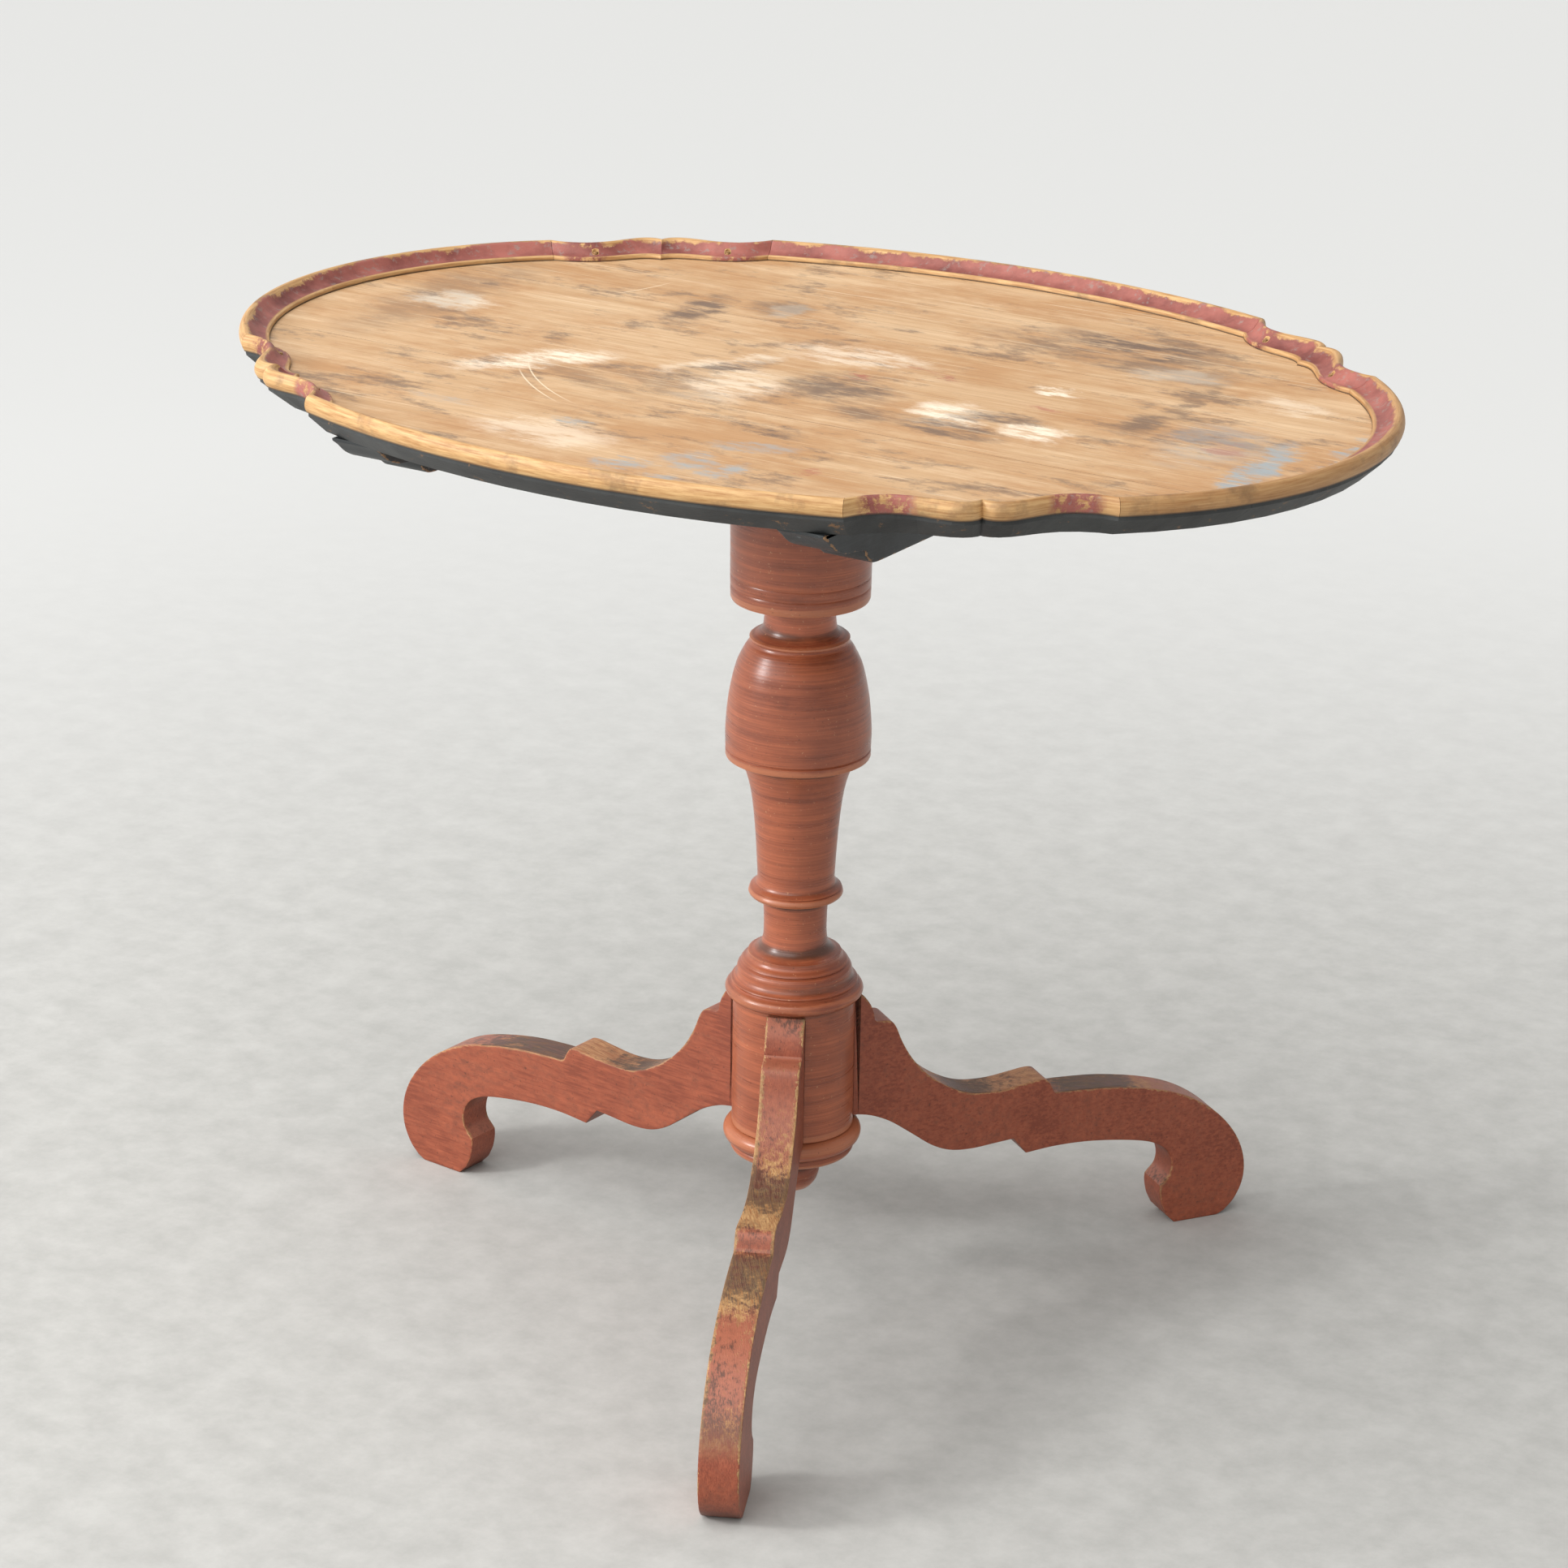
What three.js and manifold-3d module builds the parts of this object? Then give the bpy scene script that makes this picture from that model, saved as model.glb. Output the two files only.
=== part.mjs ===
// Tilt top table: an oval moulded top on two battens, hinged to a crosshead on a turned pillar
// that stands on three sawn legs. Millimetres, +Z up, +X along the oval's long axis.
import * as THREE from 'three';
import { mergeVertices } from 'three/addons/utils/BufferGeometryUtils.js';
import Module from 'manifold-3d';

const wasm = await Module();
wasm.setup();

// ---------------------------------------------------------------- driving dimensions
const GAP = 0.3; // clearance between pieces that touch
const AXIS_Y = 10; // the pillar stands this far behind the middle of the table's footprint

// the moulded top
const CREST_Z = 740; // highest line of the rim moulding
const MOULDING_H = 12.6; // moulding height above the boards
const MOULDING_W = 22; // moulding width, outer to inner edge
const BOARD_TOP = CREST_Z - MOULDING_H;
const BOARD_T = 16;
const BOARD_BOTTOM = BOARD_TOP - BOARD_T;
const BOARD_INSET = 3; // the board edge is undercut by this much below the moulding
const BEVEL_H = 13; // wide bevel round the underside
const BEVEL_W = 14;
const JOINT_Y = 112; // glue joints between the three boards

// the oval outline: a flat arc on each side, a rounder arc on each end, a bracket on each corner
const HALF_LENGTH = 446;
const HALF_WIDTH = 337;
const LONG_ARC_END = [219.5, 297];
const END_ARC_END = [363, 191];

// battens and crosshead
const BATTEN_X = 183; // middle of each batten
const BATTEN_W = 38;
const BATTEN_H = 34;
const BATTEN_HALF = 290;
const BATTEN_TOP = BOARD_BOTTOM - GAP;
const BATTEN_BOTTOM = BATTEN_TOP - BATTEN_H;
const CROSS_HALF_X = 163.5;
const CROSS_HALF_Y = 75;
const CROSS_TOP = BOARD_BOTTOM - 0.4;
const CROSS_T = 32;
const CROSS_BOTTOM = CROSS_TOP - CROSS_T;
const PIVOT_Y = -CROSS_HALF_Y + CROSS_T / 2;
const PIVOT_Z = CROSS_TOP - CROSS_T / 2;
const PIVOT_R = 7;

// turn button that locks the top down
const BUTTON_Y = 91;
const BUTTON_R = 13;
const BUTTON_REACH = 36;
const BUTTON_BOTTOM = 684.5;
const NOSE_TOP = 698.5;
const TONGUE_BOTTOM = 699;
const REBATE_Y = 54;

// pillar
const TENON_R = 18;
const HEAD_TOP = CROSS_BOTTOM - GAP;
const DRUM_BOTTOM = 137.7;
const DRUM_R = 46.4;

// legs
const LEG_T = 29;
const LEG_ANGLES = { front: -64.5, right: 55.5, left: 175.5 };
const MORTISE = { inner: 23, low: 150, high: 230, thick: 11 };

// ---------------------------------------------------------------- helpers
const rad = THREE.MathUtils.degToRad;

// points along a smooth curve through the given points
function smooth(points, perSpan = 3) {
  const curve = new THREE.SplineCurve(points.map(([x, y]) => new THREE.Vector2(x, y)));
  return curve.getPoints((points.length - 1) * perSpan).map((p) => [p.x, p.y]);
}

// points along a circle, angles in degrees
function arc(cx, cy, r, from, to, steps) {
  const points = [];
  for (let i = 0; i <= steps; i += 1) {
    const a = rad(from + ((to - from) * i) / steps);
    points.push([cx + r * Math.cos(a), cy + r * Math.sin(a)]);
  }
  return points;
}

function signedVolume(positions, index) {
  const corner = (i) => new THREE.Vector3().fromArray(positions, index[i] * 3);
  let volume = 0;
  for (let i = 0; i < index.length; i += 3) {
    volume += corner(i).dot(corner(i + 1).cross(corner(i + 2))) / 6;
  }
  return volume;
}

function manifoldOf(geometry) {
  geometry.deleteAttribute('normal');
  geometry.deleteAttribute('uv');
  const merged = mergeVertices(geometry, 1e-4);
  const positions = merged.attributes.position.array;
  const index = merged.index.array;
  if (signedVolume(positions, index) < 0) {
    index.reverse();
  }
  const mesh = new wasm.Mesh({
    numProp: 3,
    vertProperties: new Float32Array(positions),
    triVerts: new Uint32Array(index),
  });
  return new wasm.Manifold(mesh);
}

function geometryOf(solid) {
  const mesh = solid.getMesh();
  const geometry = new THREE.BufferGeometry();
  geometry.setAttribute('position', new THREE.BufferAttribute(mesh.vertProperties, 3));
  geometry.setIndex(new THREE.BufferAttribute(mesh.triVerts, 1));
  return geometry;
}

function box(x0, x1, y0, y1, z0, z1) {
  return wasm.Manifold.cube([x1 - x0, y1 - y0, z1 - z0]).translate([x0, y0, z0]);
}

function cylinder(r, z0, z1, segments = 32) {
  return wasm.Manifold.cylinder(z1 - z0, r, r, segments).translate([0, 0, z0]);
}

// (radius, height) profile turned about the vertical axis
function turned(profile, segments) {
  const points = profile.map(([r, z]) => new THREE.Vector2(r, z));
  return manifoldOf(new THREE.LatheGeometry(points, segments).rotateX(Math.PI / 2));
}

// skin through a row of closed rings that all have the same number of points, closed by end caps
function loft(rings, cap) {
  const n = rings[0].length;
  const positions = rings.flat(2);
  const index = [];
  for (let i = 0; i + 1 < rings.length; i += 1) {
    for (let k = 0; k < n; k += 1) {
      const a = i * n + k;
      const b = i * n + ((k + 1) % n);
      index.push(a, b, b + n, a, b + n, a + n);
    }
  }
  const outline = cap.map(([x, y]) => new THREE.Vector2(x, y));
  const turn = THREE.ShapeUtils.isClockWise(outline) ? -1 : 1;
  const last = (rings.length - 1) * n;
  for (const face of THREE.ShapeUtils.triangulateShape(outline, [])) {
    const [a, b, c] = turn > 0 ? face : face.slice().reverse();
    index.push(c, b, a);
    index.push(last + a, last + b, last + c);
  }
  const geometry = new THREE.BufferGeometry();
  geometry.setAttribute('position', new THREE.Float32BufferAttribute(positions, 3));
  geometry.setIndex(index);
  return manifoldOf(geometry);
}

const group = new THREE.Group();
group.name = 'tilt_top_table';

function add(name, solid, colour) {
  const geometry = geometryOf(solid.translate([0, AXIS_Y, 0]));
  const material = new THREE.MeshStandardMaterial({ color: colour, roughness: 0.6 });
  const mesh = new THREE.Mesh(geometry, material);
  mesh.name = name;
  group.add(mesh);
}

const RED = 0x9c4a35;
const PINE = 0xc49a66;
const DARK = 0x2e3436;
const PLUM = 0x8a4038;
const IRON = 0x4a4744;

// ---------------------------------------------------------------- outline of the top
// a circle through the middle of a side and its two ends: returns its radius and centre distance
function arcThrough(apex, [across, along]) {
  const sagitta = apex - along;
  const radius = (across * across + sagitta * sagitta) / (2 * sagitta);
  return { radius, centre: apex - radius, half: Math.asin(across / radius) };
}

const LONG_ARC = arcThrough(HALF_WIDTH, LONG_ARC_END);
const END_ARC = arcThrough(HALF_LENGTH, [END_ARC_END[1], END_ARC_END[0]]);

// depth of the bracket outline off the corner's chord, from the shoulder to the middle cusp
const BRACKET = [
  [0, 0], [0.13, -6.5], [0.32, -9.6], [0.5, -5.6], [0.66, 2.4],
  [0.8, 8.6], [0.9, 9.2], [0.97, 6.2], [1, 3],
];
const BRACKET_STEPS = 10;

function longPoint(t, inset) {
  const a = t * (LONG_ARC.half - 0.15 / LONG_ARC.radius);
  const r = LONG_ARC.radius - inset;
  return [r * Math.sin(a), LONG_ARC.centre + r * Math.cos(a)];
}

function endPoint(t, inset) {
  const a = t * (END_ARC.half - 0.15 / END_ARC.radius);
  const r = END_ARC.radius - inset;
  return [END_ARC.centre + r * Math.cos(a), r * Math.sin(a)];
}

// outline of one corner, from the long arc's end to the end arc's end
function cornerLine(inset) {
  const [x0, y0] = longPoint(1, inset);
  const [x1, y1] = endPoint(1, inset);
  const length = Math.hypot(x1 - x0, y1 - y0);
  const along = [(x1 - x0) / length, (y1 - y0) / length];
  const outward = [-along[1], along[0]];
  const fade = 1 - (0.45 * inset) / MOULDING_W;
  const curve = new THREE.SplineCurve(BRACKET.map(([t, d]) => new THREE.Vector2(t, d)));
  const half = curve.getPoints(BRACKET_STEPS).map((p) => [p.x / 2, p.y]);
  const other = half.slice(0, -1).reverse().map(([t, d]) => [1 - t, d]);
  return [...half, ...other].map(([t, d]) => {
    const s = GAP + t * (length - 2 * GAP);
    return [x0 + along[0] * s + outward[0] * d * fade, y0 + along[1] * s + outward[1] * d * fade];
  });
}

function arcLine(point, steps, inset) {
  const points = [];
  for (let i = 0; i <= steps; i += 1) {
    points.push(point(1 - (2 * i) / steps, inset));
  }
  return points;
}

const flip = (points, sx, sy) => points.map(([x, y]) => [x * sx, y * sy]);

// the whole outline, anticlockwise from the right-hand end
function topOutline(inset) {
  const right = arcLine(endPoint, 14, inset).reverse();
  const corner = cornerLine(inset).reverse();
  const back = arcLine(longPoint, 14, inset);
  const half = [...right, ...corner, ...back, ...flip(corner, -1, 1).reverse()];
  return [...half, ...half.map(([x, y]) => [-x, -y])];
}

// ---------------------------------------------------------------- boards
// the moulding sits on a seat a hair below the boards' face
const SEAT_Z = BOARD_TOP - GAP;
const LEVELS = [
  [BOARD_BOTTOM, BOARD_INSET + BEVEL_W],
  [BOARD_BOTTOM + BEVEL_H, BOARD_INSET],
  [SEAT_Z, BOARD_INSET],
];
const boardRings = LEVELS.map(([z, inset]) => topOutline(inset).map(([x, y]) => [x, y, z]));
const face = wasm.Manifold.extrude([topOutline(MOULDING_W + GAP)], GAP + 1).translate([0, 0, SEAT_Z - 1]);
const blank = loft(boardRings, topOutline(BOARD_INSET)).add(face);

const SCREW_R = 2;
const SCREW_Y = [-205, 0, 205];
const PEG_R = 2;
const PEG_TOP = BOARD_TOP + 6.5;
const PEG_BOTTOM = BOARD_BOTTOM + 9;

function pegPlaces() {
  const middle = cornerLine(13);
  const near = middle[3];
  const far = middle[middle.length - 4];
  const places = [];
  for (const [sx, sy] of [[1, -1], [-1, -1], [-1, 1], [1, 1]]) {
    places.push([near[0] * sx, near[1] * sy], [far[0] * sx, far[1] * sy]);
  }
  return places;
}

const pegHoles = pegPlaces().map(([x, y]) => {
  return cylinder(PEG_R + GAP, PEG_BOTTOM - GAP, CREST_Z, 12).translate([x, y, 0]);
});

function screwHoles() {
  const holes = [];
  for (const side of [-1, 1]) {
    for (const y of SCREW_Y) {
      const hole = cylinder(SCREW_R + GAP, BATTEN_BOTTOM - 1, BOARD_BOTTOM + 10.3, 12);
      holes.push(hole.translate([side * BATTEN_X, y, 0]));
    }
  }
  holes.push(cylinder(SCREW_R + GAP, BUTTON_BOTTOM - 1, BOARD_BOTTOM + 10.3, 12).translate([0, BUTTON_Y, 0]));
  return holes;
}

const BOARD_STRIPS = {
  board_front: [-400, -JOINT_Y - GAP / 2],
  board_middle: [-JOINT_Y + GAP / 2, JOINT_Y - GAP / 2],
  board_back: [JOINT_Y + GAP / 2, 400],
};
const boardCuts = [...screwHoles(), ...pegHoles];
for (const [name, [y0, y1]] of Object.entries(BOARD_STRIPS)) {
  let board = blank.intersect(box(-500, 500, y0, y1, 600, 800));
  for (const cut of boardCuts) {
    board = board.subtract(cut);
  }
  add(name, board, PINE);
}

// ---------------------------------------------------------------- rim moulding
// section of the moulding: distance in from its outer edge, height above the boards
const SECTION = [
  [1.6, 0], [0.2, 3.4], [0, 6.4], [0.9, 9.8], [2.6, 12], [4.6, MOULDING_H], [7, 11.8],
  [9.6, 9], [13, 5.9], [17.4, 4.1], [21, 3.7], [MOULDING_W, 2.8], [MOULDING_W, 0],
];

function moulding(lineAt) {
  const outer = lineAt(0);
  const inner = lineAt(MOULDING_W);
  const rings = outer.map(([x, y], i) => SECTION.map(([inset, height]) => {
    const t = inset / MOULDING_W;
    return [x + (inner[i][0] - x) * t, y + (inner[i][1] - y) * t, BOARD_TOP + height];
  }));
  return loft(rings, SECTION);
}

const longRim = moulding((inset) => arcLine(longPoint, 14, inset));
const endRim = moulding((inset) => arcLine(endPoint, 14, inset));
let cornerRim = moulding(cornerLine);
for (const [i, hole] of pegHoles.entries()) {
  if (i >= 6) {
    cornerRim = cornerRim.subtract(hole);
  }
}
const CORNERS = { right_back: [1, 1], right_front: [1, -1], left_front: [-1, -1], left_back: [-1, 1] };

add('rim_long_back', longRim, PLUM);
add('rim_long_front', longRim.mirror([0, 1, 0]), PLUM);
add('rim_end_right', endRim, PLUM);
add('rim_end_left', endRim.mirror([1, 0, 0]), PLUM);
for (const [name, [sx, sy]] of Object.entries(CORNERS)) {
  let piece = cornerRim;
  if (sx < 0) {
    piece = piece.mirror([1, 0, 0]);
  }
  if (sy < 0) {
    piece = piece.mirror([0, 1, 0]);
  }
  add(`rim_corner_${name}`, piece, PLUM);
}
for (const [i, [x, y]] of pegPlaces().entries()) {
  add(`rim_peg_${i + 1}`, cylinder(PEG_R, PEG_BOTTOM, PEG_TOP, 12).translate([x, y, 0]), PINE);
}

// ---------------------------------------------------------------- battens
// side view of a batten: distance from the table's middle, depth below its top; ogee ends
const BATTEN_END = [
  ...smooth([[BATTEN_HALF, 1.5], [284, 6.5], [276, 13.2], [264, 18.6], [252, 20.4], [241, 22.2]]),
  [239, 23.4],
  ...smooth([[238.6, 24.6], [235.5, 29.5], [229.5, 33], [222, BATTEN_H]]),
];

function batten() {
  const down = BATTEN_END.map(([y, d]) => [y, BATTEN_TOP - d]);
  const outline = [[BATTEN_HALF, BATTEN_TOP], ...down];
  const mirrored = outline.slice().reverse().map(([y, z]) => [-y, z]);
  const profile = [...outline, ...mirrored].reverse();
  // pulled up along Z, then stood so that the pull runs along X
  const plate = wasm.Manifold.extrude([profile], BATTEN_W);
  return plate.rotate([90, 0, 90]).translate([-BATTEN_W / 2, 0, 0]);
}

const alongX = (solid) => solid.rotate([0, 90, 0]);
const pivotHole = alongX(cylinder(PIVOT_R + 0.1, -30, 30)).translate([0, PIVOT_Y, PIVOT_Z]);
for (const [name, side] of [['left', -1], ['right', 1]]) {
  let piece = batten().subtract(pivotHole).translate([side * BATTEN_X, 0, 0]);
  for (const y of SCREW_Y) {
    const hole = cylinder(SCREW_R + GAP, BATTEN_BOTTOM - 1, BATTEN_TOP + 1, 12);
    const sink = cylinder(4.6, BATTEN_BOTTOM - 1, BATTEN_BOTTOM + 2.8, 16);
    piece = piece.subtract(hole.add(sink).translate([side * BATTEN_X, y, 0]));
  }
  add(`batten_${name}`, piece, DARK);
}

// countersunk screws that hold the battens up to the boards
let screwNumber = 0;
for (const side of [-1, 1]) {
  for (const y of SCREW_Y) {
    screwNumber += 1;
    const low = BATTEN_BOTTOM + 0.3;
    const screw = cylinder(SCREW_R, low, BOARD_BOTTOM + 10, 12).add(cylinder(4.2, low, low + 2.2, 16));
    add(`batten_screw_${screwNumber}`, screw.translate([side * BATTEN_X, y, 0]), IRON);
  }
}

// dowels fixed in the battens that turn in the ends of the crosshead
const DOWEL_OUT = BATTEN_X + BATTEN_W / 2 + 1;
const DOWEL_IN = 132;
for (const [name, side] of [['left', -1], ['right', 1]]) {
  const dowel = alongX(cylinder(PIVOT_R, DOWEL_IN, DOWEL_OUT)).translate([0, PIVOT_Y, PIVOT_Z]);
  add(`pivot_dowel_${name}`, side > 0 ? dowel : dowel.mirror([1, 0, 0]), PINE);
}

// ---------------------------------------------------------------- crosshead
function crosshead() {
  const nose = arc(PIVOT_Y, PIVOT_Z, CROSS_T / 2, 270, 90, 12);
  const profile = [...nose, [CROSS_HALF_Y, CROSS_TOP], [CROSS_HALF_Y, CROSS_BOTTOM]].reverse();
  const bar = wasm.Manifold.extrude([profile], CROSS_HALF_X * 2);
  let body = bar.rotate([90, 0, 90]).translate([-CROSS_HALF_X, 0, 0]);
  body = body.subtract(cylinder(TENON_R + GAP, 600, 800, 40));
  body = body.subtract(box(-52, 52, REBATE_Y, 100, 600, TONGUE_BOTTOM));
  for (const side of [-1, 1]) {
    const bore = alongX(cylinder(PIVOT_R + 0.1, -40, 40)).translate([side * 170, PIVOT_Y, PIVOT_Z]);
    body = body.subtract(bore);
  }
  return body;
}
add('crosshead', crosshead(), DARK);

// ---------------------------------------------------------------- turn button and its screw
function turnButton() {
  const boss = cylinder(BUTTON_R, BUTTON_BOTTOM, BOARD_BOTTOM - GAP, 32);
  const end = cylinder(10, BUTTON_BOTTOM, NOSE_TOP, 24).translate([-BUTTON_REACH + 10, 0, 0]);
  const arm = box(-BUTTON_REACH + 10, 0, -10, 10, BUTTON_BOTTOM, NOSE_TOP);
  return boss.add(end).add(arm).subtract(cylinder(SCREW_R + 0.2, 600, 800, 16));
}
add('turn_button', turnButton().translate([0, BUTTON_Y, 0]), DARK);

const buttonHead = cylinder(5, BUTTON_BOTTOM - GAP - 2.4, BUTTON_BOTTOM - GAP, 16);
const buttonShank = cylinder(SCREW_R, BUTTON_BOTTOM - GAP - 1, BOARD_BOTTOM + 10, 12);
add('button_screw', buttonHead.add(buttonShank).translate([0, BUTTON_Y, 0]), IRON);

// ---------------------------------------------------------------- pillar
// (radius, height) up the pillar from the foot of the drum
const PILLAR = [
  [0, DRUM_BOTTOM], [DRUM_R, DRUM_BOTTOM], [DRUM_R, 242.4], [47.6, 243.9],
  ...arc(47.4, 249, 5, -70, 50, 4),
  [48.1, 254.6], [48.1, 256.4], [44.8, 259.2], [43, 263.2],
  [43.4, 265.8], [40.8, 269.9], [40.1, 272.6], [37, 274.1],
  [35.4, 276.4], [35.2, 279], [30.4, 280.6], [26, 285], [24, 291], [23.7, 300],
  [24, 312], [24.8, 323.8], [34, 324.8], [35.7, 327.4], [34.3, 330.4],
  [33.3, 332.2], [30, 333.4], [29.1, 337],
  ...smooth([[30.2, 360], [33.2, 396], [38.2, 421.4], [43.4, 431.4]], 2),
  [44, 434.6], [52.6, 435.2], [53.9, 436.8],
  ...smooth([[54.3, 446], [53.6, 469], [49.2, 497], [43, 515.2], [37.2, 524.4]], 2),
  [36.9, 526], [37.2, 528.4], [32.2, 530.3], [28, 534.8], [26.5, 543], [26.5, 556.6],
  [49.6, 557.2], [51.6, 559.2], [52, 585], [53, HEAD_TOP - 1.5], [52, HEAD_TOP],
  [TENON_R, HEAD_TOP], [TENON_R, CROSS_TOP], [0, CROSS_TOP],
];

function pillar() {
  let body = turned(PILLAR, 28);
  for (const angle of Object.values(LEG_ANGLES)) {
    const t = MORTISE.thick / 2 + GAP;
    const mortise = box(MORTISE.inner - GAP, 60, -t, t, MORTISE.low - GAP, MORTISE.high + GAP);
    body = body.subtract(mortise.rotate([0, 0, angle]));
  }
  body = body.subtract(cylinder(12 + GAP, 100, 163, 24));
  const kerf = box(-TENON_R - 1, TENON_R + 1, -1.6, 1.6, 685, 720);
  return body.subtract(kerf);
}
add('pillar', pillar(), RED);

// wedge that spreads the tenon in the crosshead
const wedge = wasm.Manifold.extrude([[[-0.6, 686], [0.6, 686], [1.3, CROSS_TOP], [-1.3, CROSS_TOP]]], 30);
add('tenon_wedge', wedge.rotate([90, 0, 90]).translate([-15, 0, 0]), PINE);

// turned drop below the drum, with a spigot that goes up into it
const DROP = [
  [0, 80.4], [8, 81.2], [14.5, 84.4], [19, 90], [21.3, 96.6], [21.4, 100], [19.6, 105.2],
  [22, 108.6], [31, 111.4], [40, 114], [46, 117], [47.2, 120], [46.4, 122.4], [48.6, 124.4],
  [51.6, 127.4], [52.8, 131.4], [51.6, 135], [49, 136.9], [46.4, DRUM_BOTTOM - GAP],
  [12, DRUM_BOTTOM - GAP], [12, 161], [0, 161],
];
add('drop_finial', turned(DROP, 28), RED);

// ---------------------------------------------------------------- legs
// side view of a leg: distance from the pillar's axis, height above the floor
const LEG_TOP = [
  [40, 242], [48, 242],
  ...smooth([[49.4, 240.6], [53.6, 236.2], [58, 229.6], [61, 221.8]]),
  ...smooth([[61.6, 217.2], [64, 215.2], [70, 214.9], [75.4, 213.4], [79.6, 208.4], [86, 193.4],
    [96, 177], [111, 161.2], [128, 149.6], [146, 142.6], [168, 140.7], [188, 142.6], [203, 144.3],
    [211, 142.4], [216.8, 132.4]]),
  ...smooth([[218.4, 131.2], [240, 130.3], [268, 127.8], [300, 121.6], [326, 113.6], [348, 102],
    [367, 86.6], [381.6, 67.6], [389.2, 47.6], [389.4, 28.4], [382.6, 12.4], [373.4, 3]]),
];
const LEG_UNDER = [
  [367, 0], [328.6, 0],
  ...smooth([[321.6, 7], [316.8, 17], [314.6, 27.6], [314.8, 34]]),
  ...smooth([[317.6, 37.2], [322.2, 42.4], [323.9, 51], [321, 61.4], [313.4, 69.6], [300, 75.8],
    [276, 80.8], [248, 84.4], [220, 85.2], [194, 83.3]]),
  ...smooth([[182.6, 97.4], [166, 96.2], [146, 94.9], [128, 96.8], [112, 103.8], [94, 117],
    [76, 129.8], [60, 137.2], [46, 140.2], [40, 140.6]]),
];

function leg(angle) {
  const outline = [...LEG_TOP, ...LEG_UNDER].reverse();
  const plate = wasm.Manifold.extrude([outline], LEG_T).rotate([90, 0, 0]).translate([0, LEG_T / 2, 0]);
  const clear = cylinder(DRUM_R + GAP, 100, 300, 28);
  const t = MORTISE.thick / 2;
  const tenon = box(MORTISE.inner, 56, -t, t, MORTISE.low, MORTISE.high);
  return plate.subtract(clear).add(tenon).rotate([0, 0, angle]);
}
for (const [name, angle] of Object.entries(LEG_ANGLES)) {
  add(`leg_${name}`, leg(angle), RED);
}

export default group;
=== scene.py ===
# %% [markdown]
# # An old painted tilt top table
#
# This lesson dresses a finished CAD frame: an oval tray top on two battens, hinged to a turned
# pillar with three sawn legs. The frame fixes every size and every joint, so each new piece is
# built exactly where its plain CAD twin stands, and then takes the twin's place.
#
# Sizes are written in millimetres, as a joiner would, and turned into metres in one place.

# %% Load the frame
import math

import bmesh
import bpy
from mathutils import Euler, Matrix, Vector


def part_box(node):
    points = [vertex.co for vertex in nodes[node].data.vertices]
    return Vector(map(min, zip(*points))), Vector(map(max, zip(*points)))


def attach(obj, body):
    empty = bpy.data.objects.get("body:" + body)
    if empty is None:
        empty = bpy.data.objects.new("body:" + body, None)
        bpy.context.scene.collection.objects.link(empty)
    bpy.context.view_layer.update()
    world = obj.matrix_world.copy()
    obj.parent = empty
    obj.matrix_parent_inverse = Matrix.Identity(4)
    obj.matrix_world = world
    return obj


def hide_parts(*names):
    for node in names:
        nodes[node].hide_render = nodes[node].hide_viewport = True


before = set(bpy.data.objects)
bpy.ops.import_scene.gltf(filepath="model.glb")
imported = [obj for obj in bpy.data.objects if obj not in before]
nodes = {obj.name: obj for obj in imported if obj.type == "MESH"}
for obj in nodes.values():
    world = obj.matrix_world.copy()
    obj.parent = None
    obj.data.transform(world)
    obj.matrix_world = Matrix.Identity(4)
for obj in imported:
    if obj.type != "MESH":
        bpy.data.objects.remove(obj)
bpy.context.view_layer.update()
MM = 0.001
AXIS_Y = 10.0  # the pillar's axis, in mm behind the middle of the footprint

# %% [markdown]
# ## Drawing a line of points
#
# Turned work and sawn plates both begin as a drawn line: half a profile for the lathe, or the
# outline that a saw follows. By hand that is one vertex, extruded from point to point. The plane
# primitive merged to its middle gives the first vertex, and the extrude operator does the rest.
# Curves through few points are smoothed first, because a turner's hand leaves no corners.


# %% Curves and traced lines
def smooth(points, per_span=6):
    """Points along a smooth curve that goes through the given ones."""
    curve = []
    last = len(points) - 1
    for i in range(last):
        a, b = points[max(i - 1, 0)], points[i]
        c, d = points[i + 1], points[min(i + 2, last)]
        for k in range(per_span):
            t = k / per_span
            curve.append(tuple(
                0.5 * (2 * q + (r - p) * t + (2 * p - 5 * q + 4 * r - s) * t * t
                       + (3 * q - p - 3 * r + s) * t ** 3)
                for p, q, r, s in zip(a, b, c, d)))
    return curve + [tuple(points[last])]


def arc(cx, cy, radius, start, end, steps):
    """Points round part of a circle, angles in degrees."""
    angles = [math.radians(start + (end - start) * i / steps) for i in range(steps + 1)]
    return [(cx + radius * math.cos(a), cy + radius * math.sin(a)) for a in angles]


def start_clean():
    """Back to object mode with nothing selected, so that an operator acts on one piece only."""
    if bpy.context.object and bpy.context.object.mode != "OBJECT":
        bpy.ops.object.mode_set(mode="OBJECT")
    bpy.ops.object.select_all(action="DESELECT")


def trace(name, points):
    """Draws a chain of edges through points in mm, and stays in edit mode with it all selected."""
    start_clean()
    place = [Vector(p) * MM for p in points]
    bpy.ops.mesh.primitive_plane_add(size=0.0001, location=place[0])
    piece = bpy.context.object
    piece.name = piece.data.name = name
    bpy.ops.object.transform_apply(location=True)
    bpy.ops.object.mode_set(mode="EDIT")
    bpy.ops.mesh.select_mode(type="VERT")
    bpy.ops.mesh.select_all(action="SELECT")
    bpy.ops.mesh.merge(type="CENTER")
    for here, there in zip(place, place[1:]):
        bpy.ops.mesh.extrude_region_move(TRANSFORM_OT_translate={"value": there - here})
    bpy.ops.mesh.select_all(action="SELECT")
    return piece


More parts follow.
